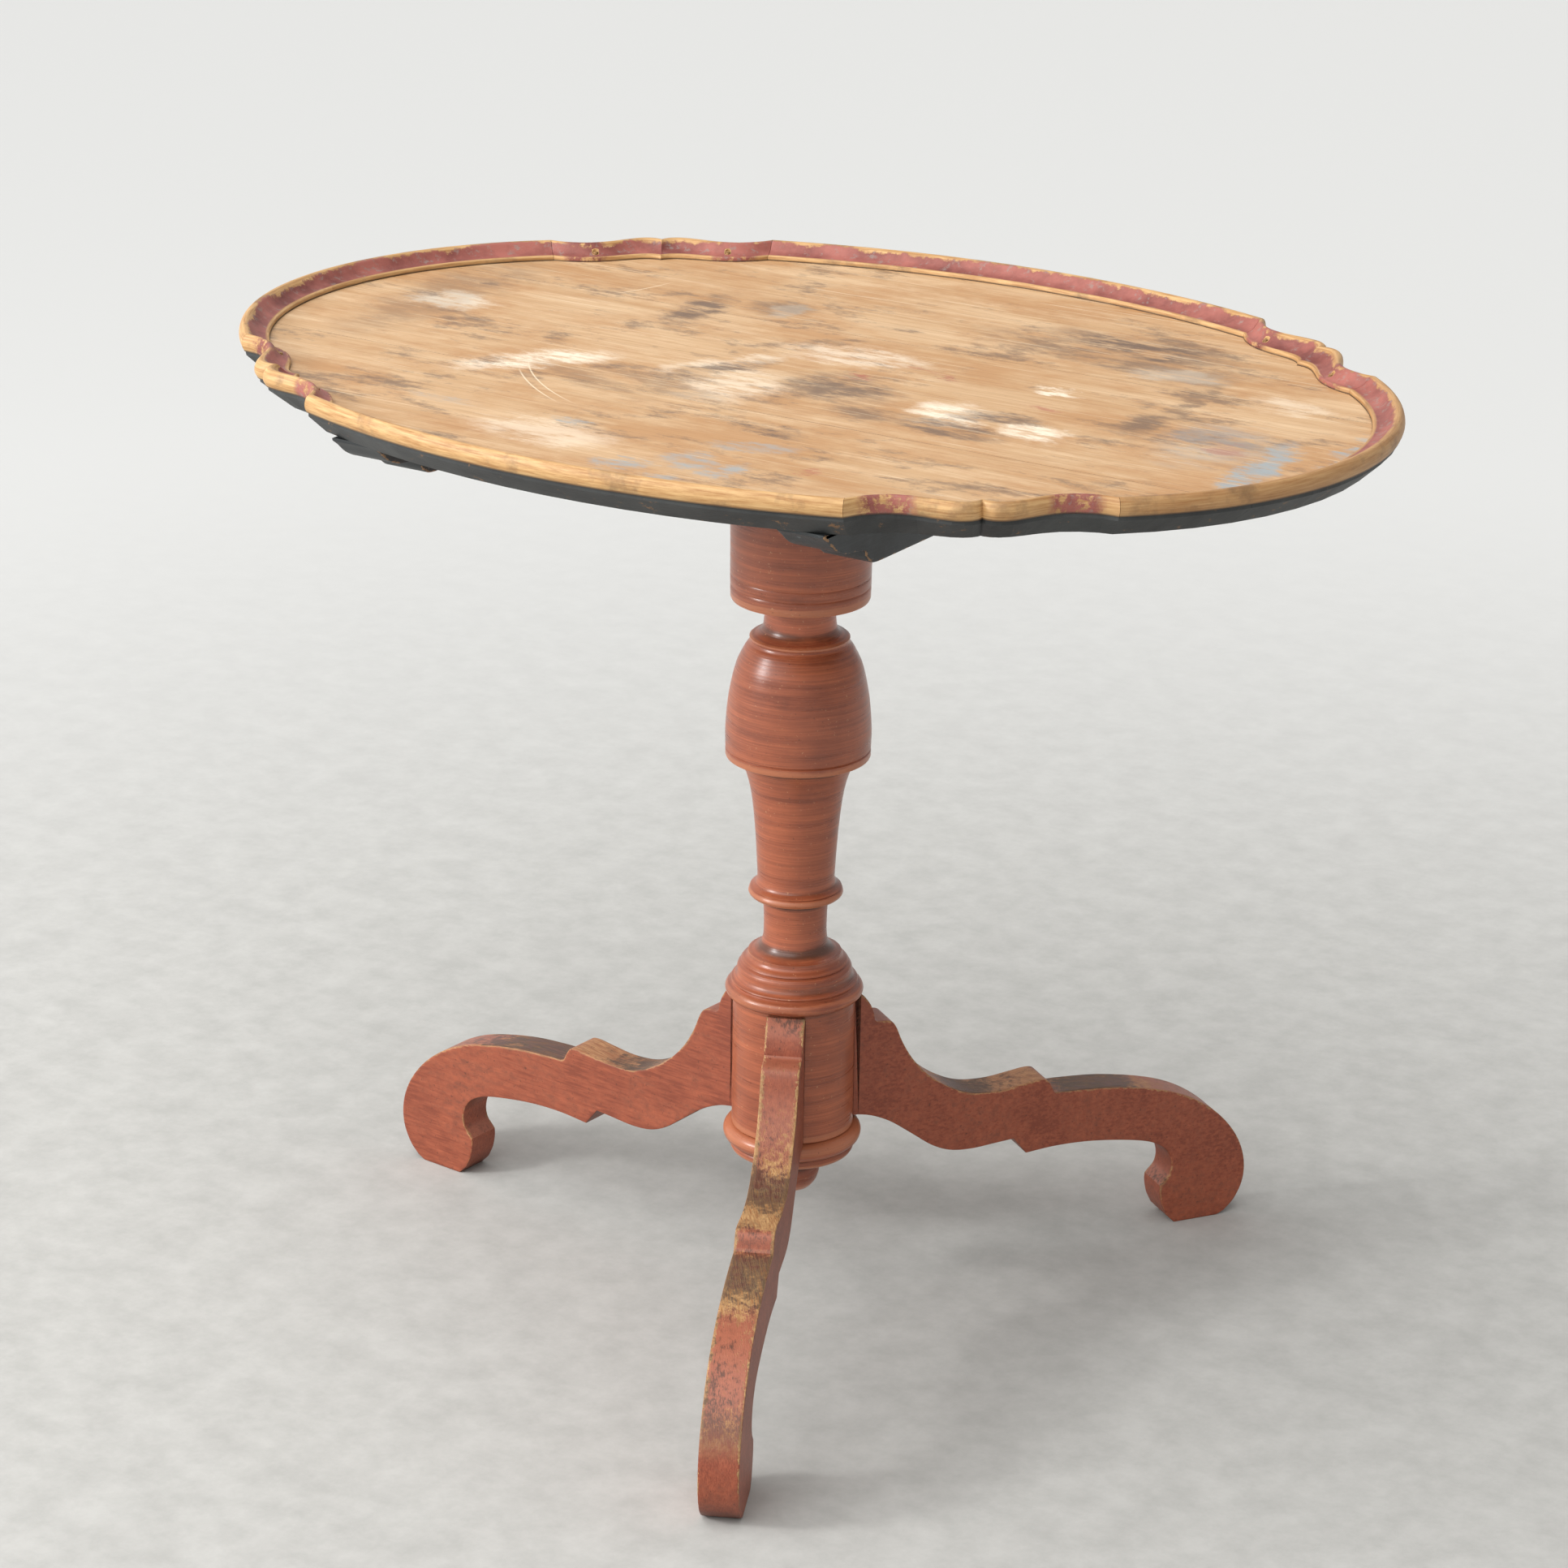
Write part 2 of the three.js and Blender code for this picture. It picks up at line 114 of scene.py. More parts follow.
def close_and_finish(piece, angle=35):
    """Merges doubles, closes holes, turns the faces outwards and leaves edit mode."""
    bpy.ops.mesh.select_all(action="SELECT")
    bpy.ops.mesh.remove_doubles(threshold=0.00001)
    bpy.ops.mesh.select_all(action="SELECT")
    bpy.ops.mesh.fill_holes(sides=0)
    bpy.ops.mesh.select_all(action="SELECT")
    bpy.ops.mesh.normals_make_consistent(inside=False)
    bpy.ops.object.mode_set(mode="OBJECT")
    bpy.ops.object.shade_smooth_by_angle(angle=math.radians(angle))
    return piece


def carve(piece, *cutters):
    """Cuts the cutters' shapes out of the piece, then removes them."""
    for cutter in cutters:
        start_clean()
        piece.select_set(True)
        bpy.context.view_layer.objects.active = piece
        cut = piece.modifiers.new("cut", "BOOLEAN")
        cut.operation = "DIFFERENCE"
        cut.object = cutter
        cut.solver = "EXACT"
        bpy.ops.object.modifier_apply(modifier=cut.name)
        bpy.data.objects.remove(cutter)
    bpy.ops.object.shade_smooth_by_angle(angle=math.radians(35))
    return piece


def rod(radius, centre, length, axis="Z", vertices=48):
    """A plain cylinder to cut with or to shape further, in mm, at its size and place."""
    start_clean()
    turn = {"X": (0, math.pi / 2, 0), "Y": (math.pi / 2, 0, 0), "Z": (0, 0, 0)}[axis]
    bpy.ops.mesh.primitive_cylinder_add(vertices=vertices, radius=radius * MM, depth=length * MM,
                                        location=Vector(centre) * MM, rotation=turn)
    bpy.ops.object.transform_apply(location=True, rotation=True)
    return bpy.context.object


def write_attribute(piece, name, value_of):
    """Stores one number per vertex, worked out from the vertex's place in mm."""
    layer = piece.data.attributes.new(name, "FLOAT", "POINT")
    layer.data.foreach_set("value", [value_of(v.co / MM) for v in piece.data.vertices])


# %% [markdown]
# ## The turned pillar and its drop
#
# The pillar is one long spindle turned between centres: a plain drum that takes the legs, a
# stack of worn rings, a slim waist with a thin collar, a rising trumpet, a bulb and a broad
# round head. A lathe is exactly what Blender's spin operator imitates, so half the profile is
# traced and spun once round the axis. Small scribed lines are real dips in the profile, because
# a turner marks them with the tip of a skew chisel.

# %% Pillar profile, in mm: radius, height
HEAD_TOP = 678.7
CROSSHEAD_TOP = 711.0
TENON_R = 18
DRUM_BOTTOM = 137.7
DRUM_R = 46.4


def scribed(radius, height, depth=0.7, width=1.1):
    """A V-shaped line cut round the spindle."""
    return [(radius, height - width), (radius - depth, height), (radius, height + width)]


PILLAR = [
    (0, DRUM_BOTTOM), (DRUM_R - 1, DRUM_BOTTOM), (DRUM_R, DRUM_BOTTOM + 1), (DRUM_R, 190),
    (DRUM_R, 242.4), (47.6, 243.9), *arc(47.4, 249, 5, -70, 60, 12),
    (48.3, 253.9), *scribed(47.9, 255.2, 1.1), (48.1, 256.8),
    *smooth([(47.6, 257.6), (45.4, 258.8), (43.6, 261), (43, 263.4)]),
    (43.5, 265.0), (43.3, 266.6), *smooth([(42.8, 268), (41.6, 269.4)], 4),
    *scribed(40.8, 270.6, 0.9, 0.8), (40.2, 272.2), (39.2, 273.4), (37.2, 274.1),
    *smooth([(36.4, 275), (35.5, 276.8), (35.2, 279)], 4),
    *smooth([(33.2, 279.6), (31.2, 280.3), (28, 282.5), (25.5, 286), (24.1, 291), (23.7, 299),
             (23.9, 310), (24.6, 322.4)], 5),
    (25.4, 323.9), (33.6, 324.4), (35, 325.6), (35.7, 327.3), (35.2, 329.2),
    *scribed(34.4, 330.7, 0.8, 0.7), (33.6, 332), (31.4, 333), (30, 334.2),
    *smooth([(29.2, 337), (29.2, 345), (31.4, 379), (34.4, 405), (38.5, 422), (43.2, 431.2)], 8),
    (43.6, 434.3), (44.4, 434.7), (52.4, 435), (53.6, 435.7), (54.1, 437),
    *scribed(54.1, 441.9, 0.8, 0.9),
    *smooth([(54.2, 446), (54.2, 459), (52.1, 482), (47.2, 505), (41.2, 518.4), (37.4, 523.8)], 8),
    (36.7, 525), (36.5, 526.2), (37.1, 527), (37.1, 528.3),
    *smooth([(35.8, 529.4), (32.6, 530.4), (29.4, 532.6), (27.3, 536.6), (26.5, 543)], 5),
    (26.5, 556.2), (27.2, 556.9), (48.8, 557.1), (50.8, 557.8), (51.6, 559.6),
    *scribed(51.8, 568.4, 0.6), *scribed(51.9, 576.4, 0.5), (52, 600),
    *scribed(52.4, 629.5, 0.45, 0.8), (53, 676.8), (52.2, 678.4), (51, HEAD_TOP),
    (TENON_R, HEAD_TOP), (TENON_R, CROSSHEAD_TOP - 1), (TENON_R - 1, CROSSHEAD_TOP),
    (0, CROSSHEAD_TOP),
]
DROP = [
    (0, 80.4), *smooth([(4, 80.5), (8, 81.2), (14.5, 84.4), (19, 90), (21.3, 96.6),
                        (21.4, 100), (20.2, 103.6)], 5),
    (19.4, 105), (19.7, 106.2), *smooth([(21.6, 108.2), (30.6, 111.2), (40, 114), (46, 117)], 5),
    (47.2, 119), (47.2, 120.6), (46.3, 122), (46.6, 123),
    *smooth([(48.6, 124.2), (51.6, 127.2), (52.8, 131.4), (51.6, 135), (48.8, 137)], 5),
    (46.6, 137.4), (12, 137.4), (12, 160.6), (11, 161), (0, 161),
]
LATHE_STEPS = 112


# %% Spin the profiles
def even_steps(profile, step):
    """The same profile with extra points, so that no two lie further apart than the step."""
    even = []
    for (r0, z0), (r1, z1) in zip(profile, profile[1:]):
        parts = max(1, round(abs(z1 - z0) / step))
        even += [(r0 + (r1 - r0) * i / parts, z0 + (z1 - z0) * i / parts) for i in range(parts)]
    return even + [profile[-1]]


def turned(name, profile):
    """Spins half a profile once round the pillar's axis."""
    piece = trace(name, [(r, AXIS_Y, z) for r, z in even_steps(profile, 3)])
    bpy.ops.mesh.spin(steps=LATHE_STEPS, angle=math.tau, center=(0, AXIS_Y * MM, 0), axis=(0, 0, 1))
    return close_and_finish(piece)


def proud_of(profile, reach=7):
    """How far each height of a profile stands out from its surroundings, from -1 to 1."""
    even = even_steps(profile, 1)
    known = {}

    def value(co):
        height = round(co.z, 1)
        if height not in known:
            near = [r for r, z in even if abs(z - height) < reach]
            known[height] = sum(near) / max(1, len(near))
        radius = math.hypot(co.x, co.y - AXIS_Y)
        return max(-1, min(1, (radius - known[height]) / 4))
    return value


pillar = turned("pillar_turned", PILLAR)
start_clean()
bpy.ops.mesh.primitive_cube_add(size=1, location=(0, AXIS_Y * MM, 0.703))
bpy.context.object.scale = (0.038, 0.0032, 0.036)
bpy.ops.object.transform_apply(location=True, scale=True)
carve(pillar, bpy.context.object, rod(12.3, (0, AXIS_Y, 149), 28))
drop = turned("drop_turned", DROP)
for spindle, profile in ((pillar, PILLAR), (drop, DROP)):
    write_attribute(spindle, "proud", proud_of(profile))
    print(spindle.name, len(spindle.data.polygons), "faces")

# %% [markdown]
# ## Sawn plates: legs, battens and crosshead
#
# The legs are not carved. Each is a 29 mm plank sawn to a cabriole outline, with square sides
# and arrises that hands and brooms have rounded off. The outline is traced, filled, given a
# narrow inset band along its edge, and pulled through the plank's thickness in a few steps. The
# steps and the band put vertices near each arris, where the paint finish later needs to know how
# close the edge is. The battens and the crosshead are made the same way.

# %% Sawn outlines, in mm
LEG_T = 29
LEG_ANGLES = {"front": -64.5, "right": 55.5, "left": 175.5}
LEG_ROOT = 46.7  # where the leg meets the drum
LEG_TOP = [
    (LEG_ROOT, 190), (LEG_ROOT, 242), (48, 242),
    *smooth([(49.4, 240.6), (53.6, 236.2), (58, 229.6), (61, 221.8)], 4),
    *smooth([(61.6, 217.2), (64, 215.2), (70, 214.9), (75.4, 213.4), (79.6, 208.4), (86, 193.4),
             (96, 177), (111, 161.2), (128, 149.6), (146, 142.6), (168, 140.7), (188, 142.6),
             (203, 144.3), (211, 142.4), (216.8, 132.4)], 6),
    *smooth([(218.4, 131.2), (240, 130.3), (268, 127.8), (300, 121.6), (326, 113.6), (348, 102),
             (367, 86.6), (381.6, 67.6), (389.2, 47.6), (389.4, 28.4), (382.6, 12.4),
             (373.4, 3)], 6),
]
LEG_UNDER = [
    (367, 0), (328.6, 0),
    *smooth([(321.6, 7), (316.8, 17), (314.6, 27.6), (314.8, 34)], 5),
    *smooth([(317.6, 37.2), (322.2, 42.4), (323.9, 51), (321, 61.4), (313.4, 69.6), (300, 75.8),
             (276, 80.8), (248, 84.4), (220, 85.2), (194, 83.3)], 6),
    *smooth([(182.6, 97.4), (166, 96.2), (146, 94.9), (128, 96.8), (112, 103.8), (94, 117),
             (76, 129.8), (60, 137.2), (LEG_ROOT, 140.1)], 5),
]
BOARD_BOTTOM = 711.4
BATTEN_X = 183
BATTEN_W = 38
BATTEN_H = 34
BATTEN_TOP = BOARD_BOTTOM - 0.3
BATTEN_END = [
    (290, 0), (290, 1.5),
    *smooth([(289.6, 2.4), (284, 6.5), (276, 13.2), (264, 18.6), (252, 20.4), (241, 22.2)], 5),
    (239, 23.4), *smooth([(238.6, 24.6), (235.5, 29.5), (229.5, 33), (222, BATTEN_H)], 5),
]
CROSS_X = 163.5
CROSS_Y = 75
CROSS_BOTTOM = 679
PIVOT_Y = -59
PIVOT_Z = 695


# %% Saw the plates
def sawn_plate(name, outline, axis, thickness, bevel=1.1):
    """Fills an outline in mm, pulls it along axis through the thickness, and rounds the arrises."""
    piece = trace(name, outline + [outline[0]])
    bpy.ops.mesh.remove_doubles(threshold=0.00001)
    bpy.ops.mesh.select_all(action="SELECT")
    bpy.ops.mesh.edge_face_add()
    bpy.ops.mesh.inset(thickness=2.6 * MM)
    bpy.ops.mesh.select_all(action="SELECT")
    edge = 2.6
    middle = (thickness - 4 * edge) / 2
    for step in (edge, edge, middle, middle, edge, edge):
        bpy.ops.mesh.extrude_region_move(TRANSFORM_OT_translate={"value": Vector(axis) * step * MM})
    bpy.ops.mesh.select_all(action="SELECT")
    bpy.ops.mesh.normals_make_consistent(inside=False)
    bpy.ops.mesh.select_all(action="DESELECT")
    bpy.ops.mesh.select_mode(type="EDGE")
    mesh = bmesh.from_edit_mesh(piece.data)
    along = Vector(axis)
    for line in mesh.edges:
        if len(line.link_faces) == 2:
            flat = sorted(abs(face.normal.dot(along)) for face in line.link_faces)
            line.select_set(flat[0] < 0.2 and flat[1] > 0.9)
    bmesh.update_edit_mesh(piece.data)
    bpy.ops.mesh.bevel(offset=bevel * MM, segments=2, affect="EDGES", clamp_overlap=True)
    bpy.ops.mesh.select_mode(type="VERT")
    return close_and_finish(piece, 30)


def distance_to_line(u, v, outline):
    """Shortest distance from a point to a closed outline."""
    best = 1e9
    for (ax, ay), (bx, by) in zip(outline, outline[1:] + outline[:1]):
        dx, dy = bx - ax, by - ay
        t = max(0, min(1, ((u - ax) * dx + (v - ay) * dy) / (dx * dx + dy * dy or 1)))
        best = min(best, math.hypot(u - ax - t * dx, v - ay - t * dy))
    return best


leg_outline = LEG_TOP + LEG_UNDER
leg_pattern = sawn_plate("leg_pattern", [(x, AXIS_Y - LEG_T / 2, z) for x, z in leg_outline],
                         (0, 1, 0), LEG_T)
print("leg pattern", len(leg_pattern.data.polygons), "faces")
for vertex in leg_pattern.data.vertices:
    if vertex.co.x < (LEG_ROOT + 0.4) * MM:  # the root is hollowed to sit round the drum
        side = vertex.co.y - AXIS_Y * MM
        vertex.co.x += math.sqrt((LEG_ROOT * MM) ** 2 - side ** 2) - LEG_ROOT * MM
write_attribute(leg_pattern, "arris", lambda co: max(
    LEG_T / 2 - abs(co.y - AXIS_Y), distance_to_line(co.x, co.z, leg_outline)))
write_attribute(leg_pattern, "reach", lambda co: co.x)
write_attribute(leg_pattern, "across", lambda co: co.y - AXIS_Y)

# %% Copy the leg to its three places
legs = {}
for side, angle in LEG_ANGLES.items():
    start_clean()
    leg = leg_pattern.copy()
    leg.data = leg_pattern.data.copy()
    leg.name = leg.data.name = "leg_sawn_" + side
    bpy.context.scene.collection.objects.link(leg)
    a = math.radians(angle)
    for vertex in leg.data.vertices:
        x, y = vertex.co.x, vertex.co.y - AXIS_Y * MM
        vertex.co.x = x * math.cos(a) - y * math.sin(a)
        vertex.co.y = x * math.sin(a) + y * math.cos(a) + AXIS_Y * MM
    leg.data.update()
    legs[side] = leg
bpy.data.objects.remove(leg_pattern)

# %% Battens, with sunk screw holes and pivot bores
SCREW_Y = (-205, 0, 205)
half = [(y, BATTEN_TOP - depth) for y, depth in BATTEN_END]
batten_outline = half + [(-y, z) for y, z in reversed(half)]
battens = {}
for side, sign in (("left", -1), ("right", 1)):
    x = sign * BATTEN_X - BATTEN_W / 2
    batten = sawn_plate("batten_sawn_" + side, [(x, y + AXIS_Y, z) for y, z in batten_outline],
                        (1, 0, 0), BATTEN_W, 1.4)
    bottom = BATTEN_TOP - BATTEN_H
    sinks = [rod(4.7, (sign * BATTEN_X, y + AXIS_Y, bottom + 0.9), 4, vertices=32) for y in SCREW_Y]
    bore = rod(7.1, (sign * BATTEN_X, PIVOT_Y + AXIS_Y, PIVOT_Z), 60, "X")
    carve(batten, bore, *sinks)
    write_attribute(batten, "arris", lambda co, x=x: max(
        BATTEN_W / 2 - abs(co.x - x - BATTEN_W / 2),
        distance_to_line(co.y - AXIS_Y, co.z, batten_outline)))
    battens[side] = batten
print("battens", [len(b.data.polygons) for b in battens.values()], "faces")

# %% Crosshead: the block that the pillar's tenon is wedged into
nose = arc(PIVOT_Y, PIVOT_Z, 16, 270, 90, 18)
cross_outline = nose + [(CROSS_Y, CROSSHEAD_TOP), (CROSS_Y, CROSS_BOTTOM)]
crosshead = sawn_plate("crosshead_sawn", [(-CROSS_X, y + AXIS_Y, z) for y, z in cross_outline],
                       (1, 0, 0), 2 * CROSS_X, 1.2)
start_clean()
bpy.ops.mesh.primitive_cube_add(size=1, location=(0, (54 + 23 + AXIS_Y) * MM, 0.684))
bpy.context.object.scale = (0.104, 0.046, 0.030)
bpy.ops.object.transform_apply(location=True, scale=True)
carve(crosshead, bpy.context.object, rod(18.3, (0, AXIS_Y, 695), 60),
      rod(7.1, (-150, PIVOT_Y + AXIS_Y, PIVOT_Z), 40, "X"),
      rod(7.1, (150, PIVOT_Y + AXIS_Y, PIVOT_Z), 40, "X"))
write_attribute(crosshead, "arris", lambda co: max(
    CROSS_X - abs(co.x), distance_to_line(co.y - AXIS_Y, co.z, cross_outline)))
print("crosshead", len(crosshead.data.polygons), "faces")

# %% [markdown]
# ## The rim moulding
#
# The raised rim is made of eight strips: a bent strip on each side and each end, and a
# bracket-shaped piece on each corner that is sawn from the solid. All eight share one section,
# an outer bead that rises to a crest and falls in a cove to a thin inner lip. A grid is added
# with one column per point of the section and one row per step along the strip, then it is
# wrapped along the strip's line in code, because the corners follow no circle that could be spun.

# %% The oval's lines, in mm from the pillar's axis
HALF_LENGTH = 446
HALF_WIDTH = 337
LONG_ARC_END = (219.5, 297)
END_ARC_END = (363, 191)
BOARD_TOP = 727.4
MOULDING_W = 22
GAP = 0.3
BRACKET = [(0, 0), (0.13, -6.5), (0.32, -9.6), (0.5, -5.6), (0.66, 2.4), (0.8, 8.6), (0.9, 9.2),
           (0.97, 6.2), (1, 3)]
SECTION = (
    [(1.6, 0)]
    + smooth([(1.5, 0.5), (0.2, 3.4), (0, 6.4), (0.9, 9.8), (2.6, 12), (4.6, 12.6), (7, 11.8),
              (9.6, 9), (13, 5.9), (17.4, 4.1), (21, 3.7), (22, 2.6)], 4)
    + [(22, 0)])


def circle_of(apex, across, along):
    """The circle through the middle of a side and both its ends."""
    rise = apex - along
    radius = (across * across + rise * rise) / (2 * rise)
    return radius, apex - radius, math.asin(across / radius) - 0.15 / radius


LONG_R, LONG_CENTRE, LONG_HALF = circle_of(HALF_WIDTH, *LONG_ARC_END)
END_R, END_CENTRE, END_HALF = circle_of(HALF_LENGTH, END_ARC_END[1], END_ARC_END[0])


def long_point(t, inset):
    return ((LONG_R - inset) * math.sin(t * LONG_HALF),
            LONG_CENTRE + (LONG_R - inset) * math.cos(t * LONG_HALF))


def end_point(t, inset):
    return (END_CENTRE + (END_R - inset) * math.cos(t * END_HALF),
            (END_R - inset) * math.sin(t * END_HALF))


bracket_half = [(t / 2, depth) for t, depth in smooth(BRACKET, 5)]
bracket_line = bracket_half + [(1 - t, depth) for t, depth in reversed(bracket_half[:-1])]


def corner_point(row, inset):
    (x0, y0), (x1, y1) = long_point(1, inset), end_point(1, inset)
    length = math.hypot(x1 - x0, y1 - y0)
    ux, uy = (x1 - x0) / length, (y1 - y0) / length
    t, depth = bracket_line[row]
    s = GAP + t * (length - 2 * GAP)
    d = depth * (1 - 0.45 * inset / MOULDING_W)
    return x0 + ux * s - uy * d, y0 + uy * s + ux * d


print("section of", len(SECTION), "points; corner of", len(bracket_line), "steps")


# %% Wrap the strips
def rim_strip(name, point_at, rows, sign_x, sign_y):
    """A strip of moulding: a grid wrapped along a line, closed underneath and at both ends."""
    start_clean()
    columns = len(SECTION)
    bpy.ops.mesh.primitive_grid_add(x_subdivisions=columns - 1, y_subdivisions=rows - 1, size=0.02)
    piece = bpy.context.object
    piece.name = piece.data.name = name
    inset_layer = piece.data.attributes.new("inset", "FLOAT", "POINT")
    hollow_layer = piece.data.attributes.new("hollow", "FLOAT", "POINT")
    for row in range(rows):
        outer, inner = point_at(row, 0), point_at(row, MOULDING_W)
        hollow = max(0, -bracket_line[row][1] / 9) if rows == len(bracket_line) else 0
        for column, (inset, height) in enumerate(SECTION):
            t = inset / MOULDING_W
            vertex = piece.data.vertices[row * columns + column]
            vertex.co = Vector((sign_x * (outer[0] + (inner[0] - outer[0]) * t),
                                sign_y * (outer[1] + (inner[1] - outer[1]) * t) + AXIS_Y,
                                BOARD_TOP + height)) * MM
            inset_layer.data[vertex.index].value = inset
            hollow_layer.data[vertex.index].value = hollow
    bpy.ops.object.mode_set(mode="EDIT")
    bpy.ops.mesh.select_all(action="SELECT")
    bpy.ops.mesh.select_mode(type="EDGE")
    bpy.ops.mesh.select_all(action="DESELECT")
    bpy.ops.mesh.select_non_manifold()
    bpy.ops.mesh.select_mode(type="VERT")
    # the two long open edges are bridged first, so that the strip is a tube with two open ends
    mesh = bmesh.from_edit_mesh(piece.data)
    mesh.verts.ensure_lookup_table()
    for row in range(rows - 1):
        a, b = row * columns, (row + 1) * columns
        mesh.faces.new((mesh.verts[a], mesh.verts[b], mesh.verts[b + columns - 1],
                        mesh.verts[a + columns - 1]))
    bmesh.update_edit_mesh(piece.data)
    return close_and_finish(piece, 40)


ARC_ROWS = 73


def along_arc(point):
    return lambda row, inset: point(1 - 2 * row / (ARC_ROWS - 1), inset)


rims = {
    "long_back": rim_strip("rim_strip_long_back", along_arc(long_point), ARC_ROWS, 1, 1),
    "long_front": rim_strip("rim_strip_long_front", along_arc(long_point), ARC_ROWS, 1, -1),
    "end_right": rim_strip("rim_strip_end_right", along_arc(end_point), ARC_ROWS, 1, 1),
    "end_left": rim_strip("rim_strip_end_left", along_arc(end_point), ARC_ROWS, -1, 1),
}
CORNERS = {"right_front": (1, -1), "left_front": (-1, -1), "left_back": (-1, 1),
           "right_back": (1, 1)}
pegs = []
for corner, (sx, sy) in CORNERS.items():
    strip = rim_strip("rim_bracket_" + corner, corner_point, len(bracket_line), sx, sy)
    rims["corner_" + corner] = strip
    for step in (0, 1):
        low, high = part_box(f"rim_peg_{len(pegs) + 1}")
        middle = (low + high) / 2 / MM
        peg = rod(2, middle, (high.z - low.z) / MM, vertices=20)
        peg.name = peg.data.name = f"rim_peg_round_{len(pegs) + 1}"
        bpy.ops.object.mode_set(mode="EDIT")
        bpy.ops.mesh.select_all(action="SELECT")
        bpy.ops.mesh.bevel(offset=0.4 * MM, segments=2, affect="EDGES")
        close_and_finish(peg)
        pegs.append(peg)
        carve(strip, rod(2.3, (middle.x, middle.y, 730), 20, vertices=24))
print("rim strips", {k: len(v.data.polygons) for k, v in rims.items()})

# %% [markdown]
# ## Iron screws and the turn button
#
# Under the top, flat-headed hand-cut screws hold the battens, and a short wooden button turns
# on its own screw to lock the top down. The screws are one rod with its head inset, pulled out
# and cut by a slot, then copied. The button is sawn like the other plates.

# %% Screws
def screw(name, head_r, low, high, x, y, turn):
    """A slotted screw whose head looks down."""
    piece = rod(2, (x, y, (low + high) / 2), high - low, vertices=32)
    piece.name = piece.data.name = name
    bpy.ops.object.mode_set(mode="EDIT")
    bpy.ops.mesh.select_mode(type="FACE")
    bpy.ops.mesh.select_all(action="DESELECT")
    mesh = bmesh.from_edit_mesh(piece.data)
    for face in mesh.faces:
        face.select_set(face.normal.z < -0.9)
    bmesh.update_edit_mesh(piece.data)
    k = head_r / 2
    centre = (x * MM, y * MM, low * MM)
    bpy.ops.transform.translate(value=(0, 0, 2.4 * MM))
    bpy.ops.mesh.extrude_region_move(TRANSFORM_OT_translate={"value": (0, 0, -1.2 * MM)})
    bpy.ops.transform.resize(value=(k, k, 1), center_override=centre)
    bpy.ops.mesh.extrude_region_move(TRANSFORM_OT_translate={"value": (0, 0, -1.2 * MM)})
    bpy.ops.mesh.bevel(offset=0.35 * MM, segments=2, affect="EDGES")
    bpy.ops.mesh.select_mode(type="VERT")
    close_and_finish(piece)
    start_clean()
    bpy.ops.mesh.primitive_cube_add(size=1, location=centre, rotation=(0, 0, turn))
    bpy.context.object.scale = (0.02, 0.0011, 0.0018)
    bpy.ops.object.transform_apply(location=True, rotation=True, scale=True)
    return carve(piece, bpy.context.object)


screws = {}
for i in range(1, 7):
    low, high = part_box(f"batten_screw_{i}")
    middle = (low + high) / 2 / MM
    screws[f"batten_screw_{i}"] = screw(f"slotted_screw_{i}", 4.2, low.z / MM, high.z / MM,
                                        middle.x, middle.y, 0.7 * i)
low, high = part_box("button_screw")
middle = (low + high) / 2 / MM
screws["button_screw"] = screw("slotted_button_screw", 5, low.z / MM, high.z / MM,
                               middle.x, middle.y, 0.4)

# %% Turn button
BUTTON_Y = 91 + AXIS_Y
button_outline = (arc(0, 0, 12.9, -50, 50, 14) + [(0, 10)]
                  + arc(-26, 0, 10, 90, 270, 14) + [(0, -10)])
button = sawn_plate("turn_button_sawn", [(x, y + BUTTON_Y, 684.5) for x, y in button_outline],
                    (0, 0, 1), 14, 1)
boss = rod(12.9, (0, BUTTON_Y, (697.9 + 711.1) / 2), 711.1 - 697.9)
start_clean()
button.select_set(True)
bpy.context.view_layer.objects.active = button
union = button.modifiers.new("boss", "BOOLEAN")
union.operation = "UNION"
union.object = boss
bpy.ops.object.modifier_apply(modifier=union.name)
bpy.data.objects.remove(boss)
carve(button, rod(2.2, (0, BUTTON_Y, 698), 60, vertices=24))
write_attribute(button, "arris", lambda co: max(
    min(co.z - 684.5, 14), distance_to_line(co.x, co.y - BUTTON_Y, button_outline)))
print("button", len(button.data.polygons), "faces")

# %% [markdown]
# ## Materials
#
# One helper turns a colour given in sRGB hex into the linear light that shaders use, and
# one adds a node with its settings and links, and hands back the output that is wanted.


# %% Node helpers
def linear(hex_code):
    """sRGB hex to linear RGBA."""
    channels = [int(hex_code[i:i + 2], 16) / 255 for i in (0, 2, 4)]
    return [c / 12.92 if c <= 0.04045 else ((c + 0.055) / 1.055) ** 2.4 for c in channels] + [1]


def put(tree, kind, inputs, output=0, **settings):
    """Adds a node, sets it, feeds its inputs with values or sockets, returns one output."""
    made = tree.nodes.new("ShaderNode" + kind)
    for key, value in settings.items():
        setattr(made, key, value)
    for key, value in inputs.items():
        if isinstance(value, bpy.types.NodeSocket):
            tree.links.new(value, made.inputs[key])
        else:
            made.inputs[key].default_value = value
    return made.outputs[output]


def blank_material(name):
    """A material with a bare Principled shader: returns it, its tree and the shader."""
    material = bpy.data.materials.new(name)
    material.use_nodes = True
    tree = material.node_tree
    return material, tree, tree.nodes["Principled BSDF"]


def dress(piece, material):
    piece.data.materials.clear()
    piece.data.materials.append(material)
